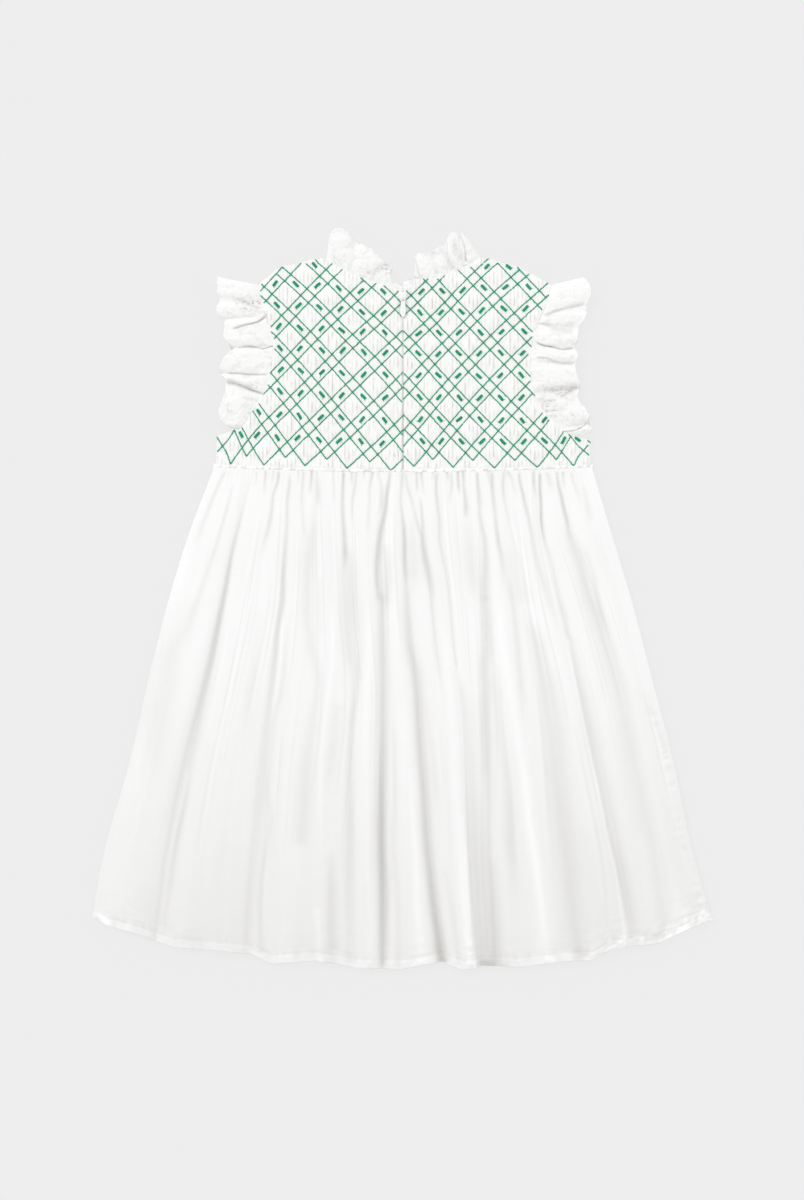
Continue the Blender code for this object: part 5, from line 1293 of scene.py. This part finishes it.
def seam_and_hem_relief(x, y, to_edge):
    """Height and shade of the turned-up hem with its stitching, and of the puckers along the side
    seams."""
    up = y - hem_y(x)
    strength = 0.35 + 0.65 * smoothstep(x, 90.0, 170.0) + 0.2 * smoothstep(-x, 150.0, 210.0)
    crinkle = soft_noise(x / 2.6, up / 7.0, 17) * np.exp(-((up - HEM_BAND) / 5.0) ** 2)
    in_band = 1 - smoothstep(up, HEM_BAND, HEM_BAND + 2.0)
    crinkle = crinkle + 0.7 * soft_noise(x / 4.0, up / 2.4, 18) * in_band
    band = 1 - smoothstep(up, HEM_BAND - 0.6, HEM_BAND + 0.6)
    line = np.exp(-((up - HEM_BAND + 0.4) / 0.8) ** 2)
    above = 0.65 * soft_noise(x / 7.0, up / 1.7, 25) * smoothstep(up, HEM_BAND, HEM_BAND + 2.0)
    crinkle = crinkle + above * (1 - smoothstep(up, 14.0, 34.0)) * (0.6 + 0.8 * soft_noise(x / 16.0, 0.5, 26))
    z = 0.55 * strength * crinkle + 0.12 * band - 0.2 * line
    # painted shade: a shadow above the hem band, a darker stitch line, crinkles shaded with their relief, and
    # puckers lighter on their high sides and darker on their low ones; the band and the seam strip are
    # painted lighter
    shadow = (1 - band) * np.exp(-(up - HEM_BAND) / 10.0) * (0.75 + 0.5 * soft_noise(x / 22.0, 3.5, 27))
    shade = 0.25 * strength * crinkle - 0.07 * band + 0.05 * line + 0.085 * np.clip(shadow, 0, 1.2)
    right = smoothstep(x, 0.0, 10.0)
    low_part = smoothstep(-y, 60.0, 90.0) * (1 - smoothstep(-y, 225.0, 240.0))
    turn = y / 7.9 + 1.6 * soft_noise(y / 17.0, 0.5, 19) + 0.4 * soft_noise(y / 6.0, 2.5, 23) + to_edge * 0.03
    spread = 3.5 + 2.5 * soft_noise(y / 8.0, 4.5, 24)
    along_seam = np.exp(-((to_edge - 5.5) / spread) ** 2)
    uneven = np.clip(0.5 + 0.8 * soft_noise(y / 9.0, 1.5, 20), 0.05, 1.2)
    ripple = np.sin(2 * np.pi * turn) * along_seam * low_part * (0.12 + 0.88 * right) * uneven
    strip = (1 - smoothstep(to_edge, 7.0, 8.5)) * smoothstep(to_edge, 0.0, 1.0)
    return z + 0.45 * ripple + 0.18 * strip, shade - 0.14 * ripple - 0.03 * strip


def back_skirt():
    rise = 6.5 / 345.0
    shares = np.concatenate([
        np.linspace(0, 0.03, 8)[:-1], np.linspace(0.03, 1 - 1.7 * rise, 150)[:-1],
        np.linspace(1 - 1.7 * rise, 1, 21)])
    x, y, share, gather, within, line_index = skirt_grid(COLUMNS_PER_GATHER, shares)
    z, shade, to_edge, below = skirt_height(x, y, share, gather, within, line_index)
    seam_z, seam_shade = seam_and_hem_relief(x, y, to_edge)
    z = np.maximum(z + seam_z, LAYER + 0.3)
    shade = np.clip(shade + seam_shade, -0.2, 1)
    chance = np.random.default_rng(31)
    count = np.floor(gather).astype(int) % GATHER_LENGTHS
    near = chance.uniform(14.0, 50.0, GATHER_LENGTHS)[count]
    strength = chance.uniform(0.3, 1.0, GATHER_LENGTHS)[count]
    free = 0.4 * np.clip(1 - below / near, 0, 1) + 0.6 * np.exp(-below / 6.0)
    free = free * strength * smoothstep(below, -1.0, 2.0)
    free = free * np.clip(to_edge / 8.0, 0, 1)
    uneven_gather = 1.6 * gather + 0.45 * soft_noise(gather * 0.9, 0.5, 33)
    # painted highlight: on the light strips, where the creases' shade is negative, the greying is cleared and
    # the cloth stays white; elsewhere it greys towards the hem
    ridge = smoothstep(-shade, 0.0, 0.12)
    sheer = smoothstep(share, 0.25, 0.95) * (1 - ridge)
    # the top row tucks in under the bodice
    x0, y0, z0 = x[:1], y[:1] + 1.6, z[:1] - 0.9

    def stack(first, rest):
        return np.concatenate([first, rest])

    x, y, z = stack(x0, x), stack(y0, y), stack(z0, z)
    panel = grid_piece("skirt_back_panel", x, y, z, (x, y), pleat=stack(uneven_gather[:1], uneven_gather),
                       free=stack(free[:1] * 0, free), fold=stack(shade[:1], shade),
                       sheer=stack(sheer[:1], sheer))
    weld(panel, 0.8)
    run_tree(panel, PLEATS, depth=0.35 * MM, roundness=0.75, contrast=3.0, share=0.6, change_along=20.0,
             seed=6.0, shade=0.28, finish=VOILE)
    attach(panel, "dress")
    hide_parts("back_skirt")
    return panel


def front_skirt():
    """Front panel, flat on the floor, with the same sides and hem."""
    shares = np.linspace(0, 1, 60)
    x, y, share, gather, _, _ = skirt_grid(1, shares)
    y = np.where(share == 1, y + 0.8, y)
    z = 0.55 + 0.25 * np.clip(soft_noise(gather * 0.8, y / 60.0, 23), -1, 1)
    panel = grid_piece("skirt_front_panel", x, y, z, (x, y), fold=np.zeros_like(x), sheer=0.3 * share)
    panel.data.materials.append(VOILE)
    thicken(panel, 0.5)
    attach(panel, "dress")
    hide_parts("front_skirt")
    return panel


# ---- front bodice ----

def front_bodice():
    """Front of the bodice, plain pleats pressed flat under it, with a lower neckline."""
    rows = []
    for side in (-1, 1):
        arm = [(row.seam_out, row.seam_y) for row in ARMHOLE[side]]
        points = [(out, waist_y(out) + GAP / 2) for out in (0.0, 75.0, HALF_WAIST)]
        points += [SIDE_TOP[side]] + arm + list(reversed(SHOULDER[side]))
        points += [(row.seam_out, row.seam_y) for row in NECK[side][-1:] + NECK_FRONT + [NECK_FRONT_CENTRE]]
        rows.append(np.array(points))
    heights = np.arange(245.0, WAIST_Y, -1.6)
    limits = [row_limits(outline, np.maximum(heights, waist_y(0.0) + 0.2)) for outline in rows]
    pieces = []
    for side, (inner, outer) in zip((-1, 1), limits):
        low = heights < waist_y(HALF_WAIST) + 0.5
        outer[low] = HALF_WAIST
        inner[heights < NECK_FRONT_CENTRE.seam_y] = 0.0
        out = np.clip(np.linspace(0.0, 135.0, 150)[None, :], inner[:, None], outer[:, None])
        y = np.maximum(np.broadcast_to(heights[:, None], out.shape), waist_y(out) + GAP / 2)
        x = side * out
        z = 0.7 + 0.25 * np.abs(np.sin(np.pi * out / PLEAT_PITCH))
        half = grid_piece("front_half", x, y, z, (x, y), side > 0, fold=np.zeros_like(x),
                          sheer=np.zeros_like(x))
        if side < 0:
            half.data.flip_normals()
        pieces.append(half)
    bm = bmesh.new()
    for piece in pieces:
        bm.from_mesh(piece.data)
    name = "bodice_front_panel"
    mesh = bpy.data.meshes.new(name)
    bm.to_mesh(mesh)
    bm.free()
    for piece in pieces:
        bpy.data.objects.remove(piece)
    panel = new_object(name, mesh)
    weld(panel)
    mesh.materials.append(SMOCKED)
    mesh.shade_smooth()
    thicken(panel, 0.5)
    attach(panel, "dress")
    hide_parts("front_bodice")
    return panel


# ---- frills ----

def smooth_rows(rows, steps):
    """Finer rows through a frill's table."""
    table = np.array(rows, float)
    at = np.linspace(0, len(rows) - 1, (len(rows) - 1) * steps + 1)
    keys = np.arange(len(rows))
    return np.stack([smooth_through(keys, table[:, k], at) for k in range(5)], -1), at


def crushed_share(x, y, patches):
    """How much the cloth of a frill is crushed, from 0 to about 1."""
    crushed = np.zeros_like(x)
    for patch in patches:
        away = ((x - patch.x) / patch.reach_x) ** 2 + ((y - patch.y) / patch.reach_y) ** 2
        crushed = np.maximum(crushed, patch.strength * np.exp(-away))
    return crushed


def frill_back(rows, side, across, steps, seed, creases, patches):
    """Upper half of a frill: flattened waves with tight creases between them, crumpled all over, and the
    painted shade of its creases and hollows.
    """
    fine, at = smooth_rows(rows, steps)
    lift = np.maximum(fine[:, 4], 0.0)
    tallest = lift.max()
    lift = tallest * (lift / tallest) ** 0.5
    end = smoothstep(at, 0, 1.0) * (1 - smoothstep(at, at[-1] - 1.0, at[-1]))
    seam = np.stack([side * fine[:, 0], fine[:, 1]], -1)
    edge = np.stack([side * fine[:, 2], fine[:, 3]], -1)
    along = (edge - seam) / np.linalg.norm(edge - seam, axis=1)[:, None]
    seam = seam - along * 1.2
    ragged = 0.6 * soft_noise(at * 2.3, 0.7, seed + 3) + 0.4 * soft_noise(at * 6.1, 0.2, seed + 5)
    edge = edge + along * (ragged * end)[:, None]
    t = across[None, :, None]
    plan = seam[:, None, :] * (1 - t) + edge[:, None, :] * t
    share = across[None, :]
    seam_level = np.maximum(FOLD_LEVEL, LAYER + WALL / 2 + bodice_roof(seam[:, 0], seam[:, 1]))[:, None]
    z = seam_level + (FOLD_LEVEL + 0.85 * lift[:, None] - seam_level) * share ** 0.8
    z = z + 1.2 * 4 * share * (1 - share) * np.minimum(1, lift[:, None] / 2)
    gathers = soft_noise(np.broadcast_to(at[:, None] * 2.6, z.shape), share * 1.5, seed)
    z = z + 0.55 * gathers * np.exp(-share / 0.3) * end[:, None]
    crumple = soft_noise(plan[..., 0] / 4.2, plan[..., 1] / 3.4, seed + 1)
    grain = soft_noise(plan[..., 0] / 1.9, plan[..., 1] / 1.6, seed + 4)
    edge_wave = soft_noise(at * 1.7, 0.4, seed + 2)[:, None] * 0.4 * share ** 3
    rolled = 0.35 * smoothstep(share, 0.93, 0.96)
    crushed = crushed_share(plan[..., 0], plan[..., 1], patches)
    flecks = soft_noise(plan[..., 0] / 1.5, plan[..., 1] / 1.1, seed + 6)
    relief = 0.30 * crumple + 0.18 * grain + 0.30 * crushed * flecks + edge_wave + rolled
    z = z + relief * end[:, None] * smoothstep(share, 0.0, 0.15)
    height, shade = crease_relief(plan[..., 0], plan[..., 1], creases)
    z = np.maximum(z + height * end[:, None], FOLD_LEVEL - 0.3)
    # painted shade: darker in the low waves, in the pits of the crumpling and in the crushed patches and
    # their flecks; the creases' shade is made uneven with the grain
    low_wave = np.exp(-(lift / (0.35 * tallest)) ** 2)[:, None]
    hollow = low_wave * np.sin(np.pi * np.clip(share * 0.9 + 0.1, 0, 1))
    pits = smoothstep(-crumple - 0.6 * grain, 0.35, 1.0)
    dark_flecks = crushed * (0.10 + 0.75 * smoothstep(-flecks, 0.05, 0.7))
    shade = shade * (1 + 0.35 * grain) + (0.12 * hollow + 0.16 * pits + dark_flecks) * end[:, None]
    return np.concatenate([plan, z[..., None]], -1), np.clip(shade, -0.2, 1.0)


def frill_fold(row, side, across, away, steps=8):
    """Turn from the upper half to the half that lies on the floor."""
    seam = np.array((side * row.seam_out, row.seam_y))
    edge = np.array((side * row.edge_out, row.edge_y))
    along = (edge - seam) / np.linalg.norm(edge - seam)
    outward = np.array((-along[1], along[0]))
    if outward @ away < 0:
        outward = -outward
    seam = seam - along * 1.2
    plan = seam[None] * (1 - across[:, None]) + edge[None] * across[:, None]
    radius = (FOLD_LEVEL - 0.6) / 2
    sections = []
    for turn in np.linspace(0, math.pi, steps + 1)[1:]:
        shifted = plan + outward * radius * math.sin(turn)
        level = np.full((len(across), 1), 0.6 + radius + radius * math.cos(turn))
        sections.append(np.concatenate([shifted, level], -1))
    return np.array(sections)


def frill_front(rows, side, across, steps, scale=1.0):
    fine, at = smooth_rows(rows, steps)
    seam = np.stack([side * fine[:, 0], fine[:, 1]], -1)
    edge = np.stack([side * fine[:, 2], fine[:, 3]], -1)
    edge = seam + (edge - seam) * scale
    along = (edge - seam) / np.linalg.norm(edge - seam, axis=1)[:, None]
    seam = seam + along * 0.3
    t = across[None, :, None]
    plan = seam[:, None, :] * (1 - t) + edge[:, None, :] * t
    z = 0.62 + 0.22 * np.sin(at * 5.0)[:, None] * across[None, :]
    return np.concatenate([plan, z[..., None]], -1)


def frill_piece(name, sections, creases, node, upward):
    sections = np.concatenate(sections)
    creases = np.concatenate(creases)
    middle = sections[:, len(sections[0]) // 2]
    run = np.concatenate([[0], np.cumsum(np.linalg.norm(np.diff(middle, axis=0), axis=1))])
    reach = np.linalg.norm(sections - sections[:, :1], axis=-1)
    u = np.broadcast_to(run[:, None], reach.shape)
    piece = grid_piece(name, sections[..., 0], sections[..., 1], sections[..., 2], (u, reach), upward,
                       fold=creases, sheer=np.zeros_like(creases))
    piece.data.materials.append(FRILLED)
    thicken(piece, 0.55)
    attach(piece, "dress")
    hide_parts(node)
    return piece


def armhole_frill(side):
    rows = ARMHOLE[side]
    word = "left" if side < 0 else "right"
    across = np.linspace(0, 1, 44)
    place = "armhole_" + word
    back, crease = frill_back(rows, side, across, 18, 40 + side, FRILL_CREASES[place], FRILL_PATCHES[place])
    fold = frill_fold(rows[-1], side, across, np.array((0.0, 1.0)))
    under = frill_front(rows[::-1][1::2], side, across, 6, 0.96)
    creases = [crease, np.zeros(fold.shape[:2]), np.zeros(under.shape[:2])]
    return frill_piece(f"armhole_ruffle_{word}", [back, fold, under], creases,
                       f"armhole_frill_{word}", side < 0)


def neck_frill():
    across = np.linspace(0, 1, 40)
    relief = FRILL_CREASES["neck"], FRILL_PATCHES["neck"]
    left, left_crease = frill_back(NECK_LEFT, -1, across, 18, 50, *relief)
    left_fold = frill_fold(NECK_LEFT[-1], -1, across, np.array((-1.0, 0.0)))
    under_rows = [FrillRow(-row.seam_out, row.seam_y, -row.edge_out, row.edge_y, 0.0) for row in NECK_FRONT]
    under = frill_front(under_rows + [NECK_FRONT_CENTRE] + NECK_FRONT[::-1], 1, across, 6)
    right, right_crease = frill_back(NECK_RIGHT, 1, across, 18, 60, *relief)
    right_fold = frill_fold(NECK_RIGHT[-1], 1, across, np.array((1.0, 0.0)))
    sections = [left, left_fold, under, right_fold[::-1], right[::-1]]
    creases = [left_crease] + [np.zeros(part.shape[:2]) for part in (left_fold, under, right_fold)]
    creases.append(right_crease[::-1])
    return frill_piece("neck_ruffle", sections, creases, "neck_frill", True)


# ---- seams ----

def seam_stitches():
    """White rows of stitching that cover the waist seam."""
    places, aims, spans = [], [], []
    for x in np.arange(-133.2, 133.3, 2.2):
        y = float(waist_y(x))
        level = float(bodice_base(x, y))
        places.append((x, y - 0.3, level - 0.35))
        aims.append((1.0, 0.05, 0.0))
        spans.append(4.2)
    return stitches("waist_seam_stitches", places, aims, spans, WHITE, thickness=2.3 * MM, sides=10,
                    uneven=0.12, seed=12)


# ---- zip ----

def zip_parts():
    tape_top = LAYER + BODICE_LIFT - GAP
    low_y = waist_y(0.0) + GAP / 2
    heights = np.linspace(ZIP_TOP_Y, low_y, 90)
    outs = np.linspace(-10.0, 10.0, 13)
    x, y = np.meshgrid(outs, heights)
    z = np.full_like(x, tape_top - 0.45) + 0.05 * np.cos(y * 1.1)
    tape = grid_piece("zip_tape_cloth", x, y, z, (x, y), fold=np.zeros_like(x), sheer=np.zeros_like(x))
    tape.data.materials.append(TAPE)
    thicken(tape, 0.7)
    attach(tape, "dress")
    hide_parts("zip_tape")
    marks = np.arange(low_y + 0.8, SLIDER_Y - 4.0, 1.3)
    places = [(0.28 * (-1) ** k, y, tape_top + 0.55) for k, y in enumerate(marks)]
    aims = [(1.0, 0.25 * (-1) ** k, 0.0) for k in range(len(marks))]
    coil = stitches("zip_coil", places, aims, [1.3] * len(marks), ENAMEL, thickness=0.85 * MM, sides=8,
                    uneven=0.0, seed=2)
    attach(coil, "dress")
    return tape, coil


def outline_solid(name, outlines, thickness, rounding, z):
    """Rounded plate from closed outlines in plan; the second one is a hole."""
    curve = bpy.data.curves.new(name, "CURVE")
    curve.dimensions = "2D"
    curve.fill_mode = "BOTH"
    curve.extrude = (thickness / 2 - rounding) * MM
    curve.bevel_depth = rounding * MM
    curve.bevel_resolution = 3
    curve.offset = -rounding * MM
    for outline in outlines:
        spline = curve.splines.new("POLY")
        spline.points.add(len(outline) - 1)
        for point, (x, y) in zip(spline.points, outline):
            point.co = (x * MM, y * MM, 0.0, 1.0)
        spline.use_cyclic_u = True
    guide = new_object(name + "_guide", curve)
    bpy.context.view_layer.update()
    mesh = bpy.data.meshes.new_from_object(guide.evaluated_get(bpy.context.evaluated_depsgraph_get()))
    bpy.data.objects.remove(guide)
    bm = bmesh.new()
    bm.from_mesh(mesh)
    bmesh.ops.remove_doubles(bm, verts=bm.verts[:], dist=0.000005)
    bmesh.ops.recalc_face_normals(bm, faces=bm.faces[:])
    bmesh.ops.translate(bm, vec=(0.0, 0.0, z * MM), verts=bm.verts[:])
    bm.to_mesh(mesh)
    bm.free()
    mesh.materials.clear()
    mesh.materials.append(ENAMEL)
    mesh.name = name
    mesh.shade_smooth()
    return new_object(name, mesh)


def rounded_box(width, length, y, corner, steps=5):
    points = []
    for cx, cy, start in ((1, 1, 0), (-1, 1, 90), (-1, -1, 180), (1, -1, 270)):
        for step in range(steps + 1):
            turn = math.radians(start + 90 * step / steps)
            points.append((cx * (width / 2 - corner) + corner * math.cos(turn),
                           y + cy * (length / 2 - corner) + corner * math.sin(turn)))
    return points


def zip_slider():
    cloth_top = LAYER + BODICE_LIFT + WALL
    plate = outline_solid("slider_plate", [rounded_box(4.4, 7.0, SLIDER_Y, 1.6)], 1.0, 0.3,
                          cloth_top + GAP + 0.5)
    stem = outline_solid("slider_stem", [rounded_box(1.1, 5.6, SLIDER_Y - 0.2, 0.3)], 1.6, 0.1,
                         cloth_top - 0.2)
    bm = bmesh.new()
    for part in (plate, stem):
        bm.from_mesh(part.data)
    steps, sides = 14, 8
    rings = []
    for step in range(steps + 1):
        turn = math.pi * step / steps
        cy, cz = PIVOT_Y - 1.05 * math.cos(turn), PIVOT_Z + 1.05 * math.sin(turn)
        if step in (0, steps):
            cz -= 0.7
        ring = []
        for k in range(sides):
            around = 2 * math.pi * k / sides
            radial = 0.3 * math.cos(around)
            ring.append(bm.verts.new(((0.6 * math.sin(around)) * MM, (cy - radial * math.cos(turn)) * MM,
                                      (cz + radial * math.sin(turn)) * MM)))
        rings.append(ring)
    for first, second in zip(rings, rings[1:]):
        for k in range(sides):
            bm.faces.new((first[k], first[(k + 1) % sides], second[(k + 1) % sides], second[k]))
    bm.faces.new(rings[0])
    bm.faces.new(reversed(rings[-1]))
    bmesh.ops.recalc_face_normals(bm, faces=bm.faces[:])
    mesh = bpy.data.meshes.new("zip_slider_body")
    bm.to_mesh(mesh)
    bm.free()
    for part in (plate, stem):
        bpy.data.objects.remove(part)
    mesh.materials.append(ENAMEL)
    mesh.shade_smooth()
    slider = new_object("zip_slider_body", mesh)
    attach(slider, "dress")
    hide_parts("zip_slider")
    return slider


def zip_pull():
    """Tear-drop tab: narrow at its eye, widest below the middle and round at its tip."""
    top, low = PIVOT_Y + 0.4, PIVOT_Y - 13.4
    shares = np.linspace(0.0, 1.0, 15)
    half_width = np.interp(shares, (0.0, 0.15, 0.45, 0.65, 0.8, 0.92, 1.0),
                           (1.35, 1.4, 1.85, 2.1, 2.0, 1.35, 0.25))
    heights = top + (low - top) * shares
    outline = [(-width, height) for width, height in zip(half_width, heights)]
    outline += [(width, height) for width, height in zip(half_width[::-1], heights[::-1])]
    eye = rounded_box(1.8, 1.5, PIVOT_Y - 1.15, 0.35, 3)
    pull = outline_solid("zip_pull_tab", [outline, eye], 0.8, 0.2, PIVOT_Z)
    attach(pull, "zip_pull")
    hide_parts("zip_pull")
    return pull


# ---- floor, light and camera ----

def studio():
    scene = bpy.context.scene
    scene.view_settings.view_transform = "Standard"
    scene.view_settings.look = "None"
    bpy.ops.mesh.primitive_plane_add(size=6.0, location=(0.0, 0.0, -0.0006))
    floor = bpy.context.object
    floor.name = "floor"
    material, _, shader = new_finish("pale_floor", 0.9, specular=0.0)
    shader.inputs["Base Color"].default_value = (0.10, 0.10, 0.10, 1.0)
    shader.inputs["Emission Color"].default_value = (1.0, 1.0, 1.0, 1.0)
    shader.inputs["Emission Strength"].default_value = 0.753
    floor.data.materials.append(material)
    world = bpy.data.worlds.new("studio")
    scene.world = world
    world.use_nodes = True
    world.node_tree.nodes["Background"].inputs["Color"].default_value = (1.0, 1.0, 1.0, 1.0)
    world.node_tree.nodes["Background"].inputs["Strength"].default_value = 0.80
    for name, direction, strength, spread in (("key", (-0.62, 0.50, 0.62), 0.75, 20.0),
                                              ("fill", (0.65, 0.35, 0.70), 0.30, 40.0)):
        light = bpy.data.lights.new(name, "SUN")
        light.energy = strength
        light.angle = math.radians(spread)
        lamp = new_object(name, light)
        lamp.rotation_euler = Vector(direction).to_track_quat("Z", "Y").to_euler()
    camera = bpy.data.cameras.new("camera")
    camera.lens = 85.0
    camera.sensor_width = 36.0
    camera.clip_end = 20.0
    stand = new_object("camera", camera)
    stand.location = (-0.00072, -0.00072, 0.864 * 85.0 / 36.0 + 0.004)
    scene.camera = stand


studio()
front_skirt()
front_bodice()
back_skirt()
smocked_half("back_bodice_left", -1)
smocked_half("back_bodice_right", 1)
for thread in (trellis_thread(), *trellis_bars(), seam_stitches()):
    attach(thread, "dress")
armhole_frill(-1)
armhole_frill(1)
neck_frill()
zip_parts()
zip_slider()
zip_pull()
